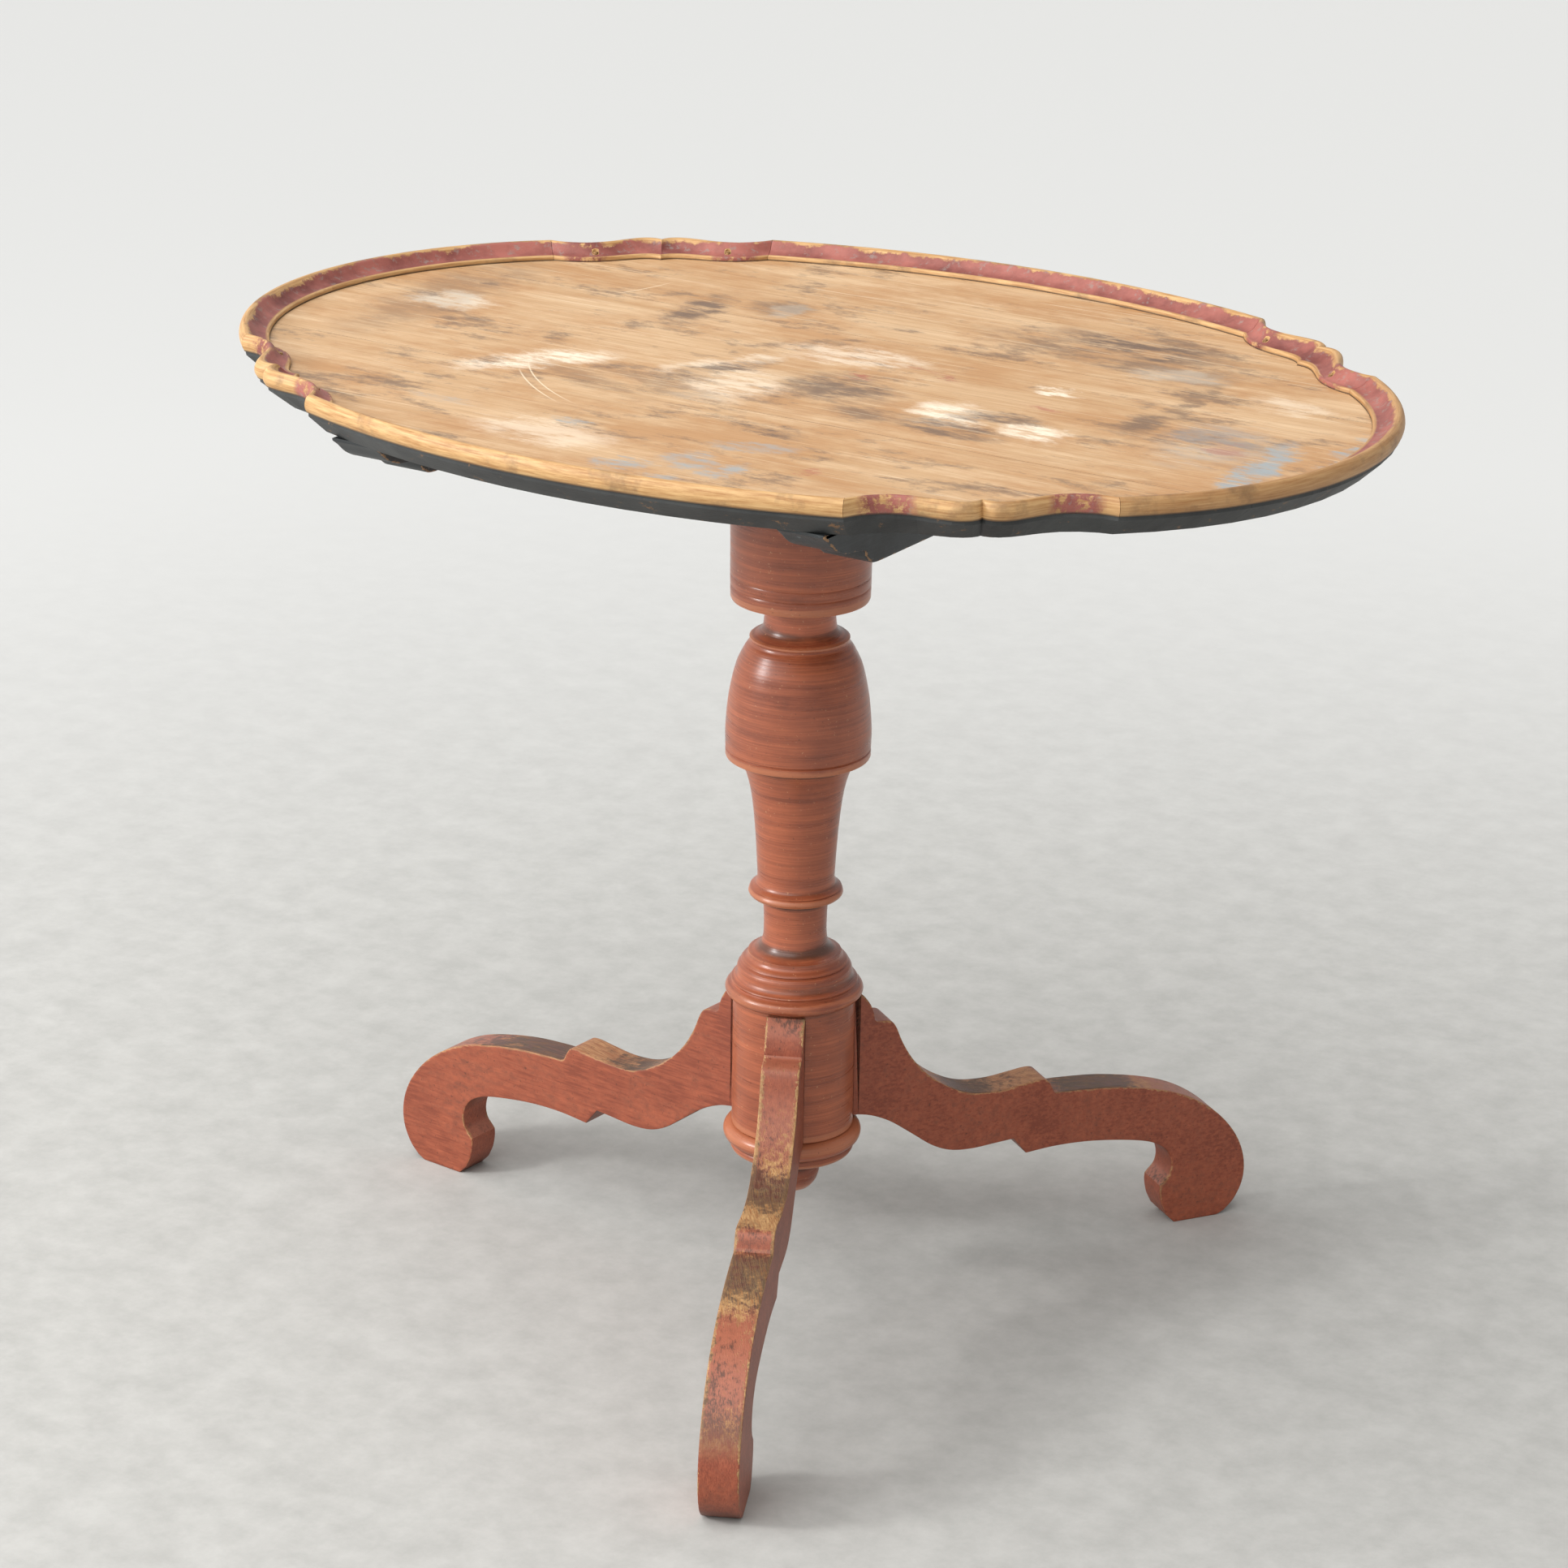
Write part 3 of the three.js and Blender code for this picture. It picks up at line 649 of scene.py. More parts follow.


# %% [markdown]
# ### Old brick-red paint
#
# Country furniture was often painted with red ochre in oil: dense, slightly chalky, and burnished
# by two centuries of dusters to a soft sheen. It is orange where it is thin and rubbed, brown
# in the hollows, where sooty wax sits and painted shade is laid in, and gone altogether on the
# arrises, where pine shows.
# The turned pieces have fine lines from the lathe round them, about 0.8 mm apart; the sawn legs
# have a faint plank grain along them instead, and much more wear on their upper edges.

# %% Red paint on turned wood
def red_on_turning():
    material, tree, shader = blank_material("red_ochre_paint_on_turning")
    place = put(tree, "TexCoord", {}, 3)
    proud = put(tree, "Attribute", {}, 2, attribute_name="proud")
    # lathe lines: noise squeezed to thin rings, long round the spindle and short in height
    rings = put(tree, "Mapping", {"Vector": place, "Scale": (14, 14, 1100)})
    lathe = put(tree, "TexNoise", {"Vector": rings, "Scale": 1, "Detail": 3, "Roughness": 0.6})
    bands = put(tree, "Mapping", {"Vector": place, "Scale": (9, 9, 150)})
    band = put(tree, "TexNoise", {"Vector": bands, "Scale": 1, "Detail": 4, "Roughness": 0.65})
    cloud = put(tree, "TexNoise", {"Vector": place, "Scale": 16, "Detail": 6, "Roughness": 0.6})
    speck = put(tree, "TexNoise", {"Vector": place, "Scale": 420, "Detail": 3, "Roughness": 0.7})
    # from brown-red to warm brick by cloud and band
    blend = put(tree, "Math", {0: cloud, 1: band}, operation="ADD")
    tone = put(tree, "MapRange", {0: blend, 1: 0.74, 2: 1.3})
    colour = put(tree, "Mix", {0: tone, 6: linear("8F4B33"), 7: linear("BE6A46")}, 2,
                 data_type="RGBA")
    lines = put(tree, "MapRange", {0: lathe, 1: 0.36, 2: 0.6})
    dark_line = put(tree, "Mix", {0: 0.4, 6: colour, 7: linear("6A3524")}, 2, data_type="RGBA")
    colour = put(tree, "Mix", {0: lines, 6: dark_line, 7: colour}, 2, data_type="RGBA")
    # painted shade and sooty wax darken the hollows, rubbed orange on what stands proud
    broken = put(tree, "Math", {0: proud, 1: put(tree, "Math", {0: blend, 1: 1.0},
                                                 operation="SUBTRACT")}, operation="ADD")
    soot_and_shade = put(tree, "MapRange", {0: broken, 1: -0.08, 2: -0.75},
               interpolation_type="SMOOTHSTEP")
    soot_and_shade = put(tree, "Math", {0: soot_and_shade, 1: 0.8}, operation="MULTIPLY")
    colour = put(tree, "Mix", {0: soot_and_shade, 6: colour, 7: linear("4A3226")}, 2, data_type="RGBA")
    rub = put(tree, "MapRange", {0: broken, 1: 0.28, 2: 0.75}, interpolation_type="SMOOTHSTEP")
    rub = put(tree, "Math", {0: rub, 1: 0.6}, operation="MULTIPLY")
    colour = put(tree, "Mix", {0: rub, 6: colour, 7: linear("C07A56")}, 2, data_type="RGBA")
    # pin-sized losses, and darker grime spots
    chips = put(tree, "MapRange", {0: speck, 1: 0.665, 2: 0.7})
    colour = put(tree, "Mix", {0: chips, 6: colour, 7: linear("C08A66")}, 2, data_type="RGBA")
    spots = put(tree, "MapRange", {0: speck, 1: 0.34, 2: 0.29})
    spots = put(tree, "Math", {0: spots, 1: 0.65}, operation="MULTIPLY")
    colour = put(tree, "Mix", {0: spots, 6: colour, 7: linear("3E2620")}, 2, data_type="RGBA")
    tree.links.new(colour, shader.inputs["Base Color"])
    rough = put(tree, "MapRange", {0: band, 1: 0.3, 2: 0.7, 3: 0.24, 4: 0.38})
    tree.links.new(rough, shader.inputs["Roughness"])
    fine = put(tree, "Bump", {"Strength": 0.35, "Distance": 0.0003, "Height": lathe})
    soft = put(tree, "Bump", {"Strength": 0.3, "Distance": 0.0006, "Height": cloud,
                              "Normal": fine})
    tree.links.new(soft, shader.inputs["Normal"])
    shader.inputs["Specular IOR Level"].default_value = 0.55
    return material


red_turning = red_on_turning()


# %% Red paint on the sawn legs
# reach along the leg as a share of 400 mm, how bare, how black
UPPER_FACE_WEAR = [
    (0.12, 0.25, 0.45), (0.155, 0.1, 0.15), (0.20, 0.35, 0.1), (0.28, 0.5, 0.2),
    (0.345, 0.55, 0.65), (0.41, 0.85, 0.5), (0.50, 0.95, 0.15), (0.53, 0.3, 0.3),
    (0.58, 0.5, 0.75), (0.70, 0.55, 0.6), (0.78, 0.3, 0.3), (0.90, 0.25, 0.35),
    (0.975, 0.5, 0.8),
]


def fill_ramp(node, stops):
    """Sets a colour ramp from a list of place, red and green."""
    ramp = node.color_ramp
    while len(ramp.elements) < len(stops):
        ramp.elements.new(0.5)
    for element, (position, bare, black) in zip(ramp.elements, stops):
        element.position = position
        element.color = (bare, black, 0, 1)


def red_on_sawn_pine(name, bare_amount, black_amount):
    material, tree, shader = blank_material(name)
    place = put(tree, "TexCoord", {}, 3)
    normal = put(tree, "TexCoord", {}, 1)
    arris = put(tree, "Attribute", {}, 2, attribute_name="arris")
    reach = put(tree, "Attribute", {}, 2, attribute_name="reach")
    across = put(tree, "Attribute", {}, 2, attribute_name="across")
    height = put(tree, "SeparateXYZ", {0: place}, 2)
    # a frame that runs along the leg, in mm: reach, across, height
    run = put(tree, "CombineXYZ", {0: reach, 1: across,
                                   2: put(tree, "Math", {0: height, 1: 1000},
                                          operation="MULTIPLY")})
    offset = put(tree, "VectorMath", {0: place, 1: (300, 300, 0)}, operation="MULTIPLY")
    run = put(tree, "VectorMath", {0: run, 1: offset}, operation="ADD")
    cloud = put(tree, "TexNoise", {"Vector": run, "Scale": 0.022, "Detail": 7, "Roughness": 0.65})
    streak = put(tree, "TexNoise", {"Vector": put(tree, "Mapping", {"Vector": run,
                                                                    "Scale": (0.045, 0.9, 0.42)}),
                                    "Scale": 1, "Detail": 5, "Roughness": 0.6})
    nibble = put(tree, "TexNoise", {"Vector": run, "Scale": 0.16, "Detail": 7, "Roughness": 0.7})
    speck = put(tree, "TexNoise", {"Vector": place, "Scale": 400, "Detail": 3, "Roughness": 0.7})
    blend = put(tree, "Math", {0: cloud, 1: streak}, operation="ADD")
    tone = put(tree, "MapRange", {0: blend, 1: 0.84, 2: 1.2})
    colour = put(tree, "Mix", {0: tone, 6: linear("823F2A"), 7: linear("AC5B3E")}, 2,
                 data_type="RGBA")
    # the faces that look up are handled, kicked and dusted: pinker, then bare, then black
    up = put(tree, "SeparateXYZ", {0: normal}, 2)
    top_face = put(tree, "MapRange", {0: up, 1: 0.25, 2: 0.7}, interpolation_type="SMOOTHSTEP")
    pink = put(tree, "Math", {0: top_face, 1: 0.6}, operation="MULTIPLY")
    colour = put(tree, "Mix", {0: pink, 6: colour, 7: linear("AC6A52")}, 2, data_type="RGBA")
    # how bare (red channel) and how black (green channel) the upper faces are along the leg
    zone = put(tree, "ValToRGB", {0: put(tree, "Math", {0: reach, 1: 400},
                                         operation="DIVIDE")})
    fill_ramp(zone.node, UPPER_FACE_WEAR)
    zones = put(tree, "SeparateColor", {0: zone}, 0).node
    patch = put(tree, "Math", {0: cloud, 1: nibble}, operation="ADD")
    patch = put(tree, "Math", {0: streak, 1: 0.8, 2: patch}, operation="MULTIPLY_ADD")
    patch = put(tree, "Math", {0: patch, 1: 0.4}, operation="SUBTRACT")
    black = put(tree, "Math", {0: patch, 1: zones.outputs[1]}, operation="ADD")
    black = put(tree, "MapRange", {0: black, 1: 1.30, 2: 1.62}, interpolation_type="SMOOTHSTEP")
    black = put(tree, "Math", {0: black, 1: put(tree, "MapRange", {0: streak, 1: 0.3, 2: 0.6,
                                                                   3: 0.55, 4: 1})},
                operation="MULTIPLY")
    wear = put(tree, "Math", {0: zones.outputs[0], 1: patch}, operation="SUBTRACT")
    wear = put(tree, "MapRange", {0: wear, 1: -0.62, 2: -0.38}, interpolation_type="SMOOTHSTEP")
    wear = put(tree, "Math", {0: wear, 1: top_face}, operation="MULTIPLY")
    # along every arris the paint is nibbled back by 1 to 4 mm, most on the upper edges
    width = put(tree, "MapRange", {0: up, 1: -0.2, 2: 0.5, 3: 0.25, 4: 2.3})
    ragged = put(tree, "MapRange", {0: patch, 1: 0.86, 2: 1.2, 3: 0.0, 4: 1.8})
    limit = put(tree, "Math", {0: width, 1: ragged}, operation="MULTIPLY")
    worn = put(tree, "Math", {0: limit, 1: arris}, operation="SUBTRACT")
    edge = put(tree, "MapRange", {0: worn, 1: -0.3, 2: 0.5}, interpolation_type="SMOOTHSTEP")
    bare = put(tree, "Math", {0: edge, 1: wear}, operation="MAXIMUM")
    bare = put(tree, "Math", {0: bare, 1: bare_amount}, operation="MULTIPLY")
    pine = put(tree, "Mix", {0: put(tree, "MapRange", {0: streak, 1: 0.35, 2: 0.65}),
                             6: linear("946238"), 7: linear("D2A872")}, 2, data_type="RGBA")
    colour = put(tree, "Mix", {0: bare, 6: colour, 7: pine}, 2, data_type="RGBA")
    black = put(tree, "Math", {0: black, 1: top_face}, operation="MULTIPLY")
    black = put(tree, "Math", {0: black, 1: black_amount}, operation="MULTIPLY")
    colour = put(tree, "Mix", {0: black, 6: colour, 7: linear("43352A")}, 2, data_type="RGBA")
    # handling grime lies in blotches over the flat sides too
    blotch = put(tree, "MapRange", {0: patch, 1: 1.0, 2: 1.3, 3: 0, 4: 0.6})
    colour = put(tree, "Mix", {0: blotch, 6: colour, 7: linear("5A3428")}, 2, data_type="RGBA")
    # painted shade darkens the undersides and inner hollows
    underside_shade = put(tree, "MapRange", {0: up, 1: -0.25, 2: -0.8}, interpolation_type="SMOOTHSTEP")
    underside_shade = put(tree, "Math", {0: underside_shade, 1: 0.55}, operation="MULTIPLY")
    colour = put(tree, "Mix", {0: underside_shade, 6: colour, 7: linear("463026")}, 2, data_type="RGBA")
    spots = put(tree, "MapRange", {0: speck, 1: 0.375, 2: 0.31})
    spots = put(tree, "Math", {0: spots, 1: 0.6}, operation="MULTIPLY")
    colour = put(tree, "Mix", {0: spots, 6: colour, 7: linear("3A251E")}, 2, data_type="RGBA")
    tree.links.new(colour, shader.inputs["Base Color"])
    rough = put(tree, "MapRange", {0: bare, 1: 0, 2: 1, 3: 0.45, 4: 0.62})
    tree.links.new(rough, shader.inputs["Roughness"])
    relief = put(tree, "Math", {0: streak, 1: put(tree, "Math", {0: bare, 1: -0.8},
                                                  operation="MULTIPLY")}, operation="ADD")
    bump = put(tree, "Bump", {"Strength": 0.4, "Distance": 0.0005, "Height": relief})
    tree.links.new(bump, shader.inputs["Normal"])
    return material


red_front_leg = red_on_sawn_pine("red_ochre_paint_on_front_leg", 1.0, 0.85)
red_side_legs = red_on_sawn_pine("red_ochre_paint_on_side_legs", 0.6, 0.95)

# %% [markdown]
# ### The rubbed board
#
# The face of the tray was painted once and has been scrubbed to the bare pine. The grain runs
# the long way. Over it lie pale scoured places, brown-grey grime that never came out, a few
# smears of blue-grey and red paint, and knife scratches. Grain lines in slow-grown pine are 1 to
# 3 mm apart. The stains are placed one by one as soft ellipses, because a real top is stained
# where things stood on it, and noise then breaks their edges.

# %% Stains on the board: x, y from the middle in mm, half length, half width, turn in degrees
GRIME = [
    (45, -22, 52, 34, -12, 0.75), (-52, -22, 16, 36, -25, 0.8), (-166, 110, 20, 60, 12, 0.8),
    (-118, 152, 30, 26, 0, 0.6), (165, 205, 80, 30, -8, 0.85), (150, 165, 110, 26, -10, 0.6),
    (268, 70, 12, 95, 4, 0.6), (262, 20, 16, 30, 0, 0.7), (60, -146, 36, 11, -6, 0.8),
    (178, -28, 34, 16, 15, 0.75), (165, -72, 46, 18, -12, 0.75), (95, -72, 30, 18, 0, 0.6),
    (-28, 86, 26, 9, 35, 0.6), (-6, 148, 20, 9, 10, 0.65), (250, 150, 26, 30, 0, 0.5),
    (330, 12, 50, 12, -5, 0.45), (-350, 40, 40, 150, 6, 0.35), (-60, -90, 60, 14, -8, 0.4),
    (-110, -110, 70, 16, -20, 0.35), (240, 150, 40, 24, 20, 0.5),
]
SCOURED = [
    (-335, 25, 34, 24, 10, 0.8), (-178, -85, 62, 26, 52, 0.85), (145, -40, 32, 30, -20, 0.9),
    (215, -46, 26, 24, 0, 0.85), (10, 60, 66, 26, 0, 0.55), (-20, -60, 40, 50, 20, 0.5),
    (180, 58, 22, 8, 0, 0.8), (230, 150, 40, 18, 10, 0.6), (-110, 150, 16, 20, 0, 0.6),
    (-60, -240, 60, 28, 0, 0.45), (330, 120, 30, 20, 0, 0.4), (-60, -10, 14, 60, -30, 0.5),
]
BLUE_GREY = [
    (385, -50, 14, 90, 8, 0.85), (418, 40, 8, 50, 4, 0.8), (30, -272, 22, 14, 20, 0.8),
    (66, -240, 22, 18, 0, 0.7), (98, -244, 10, 22, -20, 0.7), (70, -290, 14, 14, 0, 0.6),
    (78, -190, 34, 10, 15, 0.5), (-56, -206, 16, 9, 0, 0.6), (-160, -210, 30, 9, 0, 0.4),
    (330, 0, 40, 60, 10, 0.35),
]
# centre and radius of the arc, then the ellipse that it is seen in, all in mm
CURVED_SCRATCHES = [
    (20, 60, 250, -135, -130, 60, 22, -35), (24, 62, 262, -140, -146, 50, 20, -35),
    (-420, 190, 190, -238, 140, 14, 40, 10),
]
RED_SMEAR = [
    (42, 12, 9, 7, 0, 0.7), (80, 50, 22, 4, -15, 0.7), (190, 14, 12, 6, 0, 0.6),
    (342, -8, 14, 16, 0, 0.4), (142, -214, 9, 8, 40, 0.8),
]


# %% Board material
def stain_mask(tree, place, stains):
    """The strongest of a list of soft ellipses at each place."""
    total = None
    for x, y, length, width, turn, strength in stains:
        local = put(tree, "Mapping", {"Vector": place,
                                      "Location": (x * MM, (y + AXIS_Y) * MM, 0.7274),
                                      "Rotation": (0, 0, math.radians(turn)),
                                      "Scale": (length * MM, width * MM, 1)},
                    vector_type="TEXTURE")
        away = put(tree, "VectorMath", {0: local}, 1, operation="LENGTH")
        mask = put(tree, "MapRange", {0: away, 1: 1.25, 2: 0.45, 3: 0, 4: strength},
                   interpolation_type="SMOOTHSTEP")
        total = mask if total is None else put(tree, "Math", {0: total, 1: mask},
                                               operation="MAXIMUM")
    return total


def scrubbed_pine():
    material, tree, shader = blank_material("scrubbed_pine_board")
    place = put(tree, "TexCoord", {}, 3)
    normal = put(tree, "TexCoord", {}, 1)
    wander = put(tree, "TexNoise", {
        "Vector": put(tree, "Mapping", {"Vector": place, "Scale": (20, 44, 1)}),
        "Scale": 1, "Detail": 8, "Roughness": 0.75}, 1)
    wander = put(tree, "VectorMath", {0: wander, 1: (0.5, 0.5, 0.5)}, operation="SUBTRACT")
    wander = put(tree, "VectorMath", {0: wander, 3: 0.075}, operation="SCALE")
    ragged = put(tree, "VectorMath", {0: place, 1: wander}, operation="ADD")
    grain_place = put(tree, "Mapping", {"Vector": place, "Scale": (4, 70, 60)})
    grain = put(tree, "TexNoise", {"Vector": grain_place, "Scale": 1, "Detail": 7,
                                   "Roughness": 0.68, "Distortion": 0.25})
    fibre_place = put(tree, "Mapping", {"Vector": place, "Scale": (22, 900, 900)})
    fibre = put(tree, "TexNoise", {"Vector": fibre_place, "Scale": 1, "Detail": 3,
                                   "Roughness": 0.6})
    cloud = put(tree, "TexNoise", {"Vector": put(tree, "Mapping", {"Vector": place,
                                                                   "Scale": (8, 17, 1)}),
                                   "Scale": 1, "Detail": 9, "Roughness": 0.7})
    streaky = put(tree, "TexNoise", {"Vector": put(tree, "Mapping", {"Vector": place,
                                                                     "Scale": (24, 90, 1)}),
                                     "Scale": 1, "Detail": 9, "Roughness": 0.75})
    # pine: honey between pale early wood and browner late wood
    tone = put(tree, "MapRange", {0: grain, 1: 0.3, 2: 0.7})
    wood = put(tree, "Mix", {0: tone, 6: linear("BC9264"), 7: linear("DBBA92")}, 2,
               data_type="RGBA")
    warm = put(tree, "MapRange", {0: cloud, 1: 0.44, 2: 0.60})
    wood = put(tree, "Mix", {0: put(tree, "Math", {0: warm, 1: 0.7}, operation="MULTIPLY"),
                             6: wood, 7: linear("B58351")}, 2, data_type="RGBA")
    fine = put(tree, "MapRange", {0: fibre, 1: 0.3, 2: 0.52, 3: 0.35, 4: 0})
    wood = put(tree, "Mix", {0: fine, 6: wood, 7: linear("8F6238")}, 2, data_type="RGBA")
    # scoured places, then grime, then smears of paint
    breaks = put(tree, "MapRange", {0: streaky, 1: 0.42, 2: 0.54, 3: 0.2, 4: 1.1})
    pale = put(tree, "Math", {0: stain_mask(tree, ragged, SCOURED), 1: breaks},
               operation="MULTIPLY", use_clamp=True)
    face = put(tree, "Mix", {0: pale, 6: wood, 7: linear("F3E3CB")}, 2, data_type="RGBA")
    smudges = put(tree, "MapRange", {0: put(tree, "TexNoise", {
        "Vector": put(tree, "Mapping", {"Vector": place, "Scale": (11, 24, 1),
                                        "Location": (3.1, 1.7, 0)}),
        "Scale": 1, "Detail": 10, "Roughness": 0.76}), 1: 0.54, 2: 0.64, 3: 0, 4: 0.7})
    grime = put(tree, "Math", {0: stain_mask(tree, ragged, GRIME), 1: breaks},
                operation="MULTIPLY", use_clamp=True)
    grime = put(tree, "Math", {0: grime, 1: smudges}, operation="MAXIMUM")
    face = put(tree, "Mix", {0: grime, 6: face, 7: linear("67503F")}, 2, data_type="RGBA")
    blue = put(tree, "Math", {0: stain_mask(tree, ragged, BLUE_GREY), 1: breaks},
               operation="MULTIPLY", use_clamp=True)
    face = put(tree, "Mix", {0: blue, 6: face, 7: linear("9AA3A6")}, 2, data_type="RGBA")
    red = put(tree, "Math", {0: stain_mask(tree, ragged, RED_SMEAR), 1: breaks},
              operation="MULTIPLY", use_clamp=True)
    face = put(tree, "Mix", {0: red, 6: face, 7: linear("A55443")}, 2, data_type="RGBA")
    # hundreds of short knife marks in two directions, and three long curved scratches
    scratch = None
    for turn, length, width in ((0.35, 7, 420), (-0.6, 12, 520)):
        lines = put(tree, "TexNoise", {"Vector": put(tree, "Mapping", {
            "Vector": place, "Scale": (length, width, 1), "Rotation": (0, 0, turn)}),
            "Scale": 1, "Detail": 1})
        lines = put(tree, "MapRange", {0: lines, 1: 0.70, 2: 0.74, 3: 0, 4: 0.5})
        scratch = lines if scratch is None else put(tree, "Math", {0: scratch, 1: lines},
                                                    operation="MAXIMUM")
    for x, y, radius, ex, ey, length, width, turn in CURVED_SCRATCHES:
        from_middle = put(tree, "VectorMath", {0: place, 1: (x * MM, (y + AXIS_Y) * MM, 0.7274)},
                          1, operation="DISTANCE")
        line = put(tree, "Math", {0: from_middle, 1: radius * MM, 2: 0.0006},
                   operation="COMPARE")
        here = stain_mask(tree, place, [(ex, ey, length, width, turn, 1.0)])
        line = put(tree, "Math", {0: line, 1: here}, operation="MULTIPLY")
        scratch = put(tree, "Math", {0: scratch, 1: line}, operation="MAXIMUM")
    face = put(tree, "Mix", {0: put(tree, "Math", {0: scratch, 1: 0.7}, operation="MULTIPLY"),
                             6: face, 7: linear("F0DCBC")}, 2, data_type="RGBA")
    # the edge of the board is painted blue-black, and underneath it is unpainted and brown
    up = put(tree, "SeparateXYZ", {0: normal}, 2)
    chipping = put(tree, "TexNoise", {"Vector": place, "Scale": 70, "Detail": 8,
                                      "Roughness": 0.75})
    paint_tone = put(tree, "MapRange", {0: cloud, 1: 0.35, 2: 0.65})
    edge = put(tree, "Mix", {0: paint_tone, 6: linear("272828"), 7: linear("3F4140")}, 2,
               data_type="RGBA")
    chips = put(tree, "MapRange", {0: chipping, 1: 0.61, 2: 0.64})
    edge = put(tree, "Mix", {0: chips, 6: edge, 7: linear("7A5A3C")}, 2, data_type="RGBA")
    below = put(tree, "Mix", {0: tone, 6: linear("6B523A"), 7: linear("8E7150")}, 2,
                data_type="RGBA")
    is_below = put(tree, "MapRange", {0: up, 1: -0.9, 2: -0.99})
    side = put(tree, "Mix", {0: is_below, 6: edge, 7: below}, 2, data_type="RGBA")
    is_face = put(tree, "MapRange", {0: up, 1: 0.5, 2: 0.9})
    colour = put(tree, "Mix", {0: is_face, 6: side, 7: face}, 2, data_type="RGBA")
    tree.links.new(colour, shader.inputs["Base Color"])
    rough = put(tree, "MapRange", {0: grime, 1: 0, 2: 1, 3: 0.58, 4: 0.48})
    tree.links.new(rough, shader.inputs["Roughness"])
    height = put(tree, "Math", {0: fibre, 1: put(tree, "Math", {0: scratch, 1: -1.0},
                                                 operation="MULTIPLY")}, operation="ADD")
    bump = put(tree, "Bump", {"Strength": 0.3, "Distance": 0.0004, "Height": height})
    wavy = put(tree, "Bump", {"Strength": 0.25, "Distance": 0.002, "Height": grain,
                              "Normal": bump})
    tree.links.new(wavy, shader.inputs["Normal"])
    return material


board_pine = scrubbed_pine()
for name in ("board_front", "board_middle", "board_back"):
    dress(nodes[name], board_pine)

# %% [markdown]
# ### The rim's worn plum paint
#
# The moulding kept its plum-red paint only where hands do not reach: in the cove on the inside
# and in the hollows of the corner brackets. The crest and the outer bead are bare wood, darkened
# to ochre by handling. Each vertex already knows how far it is from the outer edge, so the
# finish can follow the section, and noise makes the borders ragged.


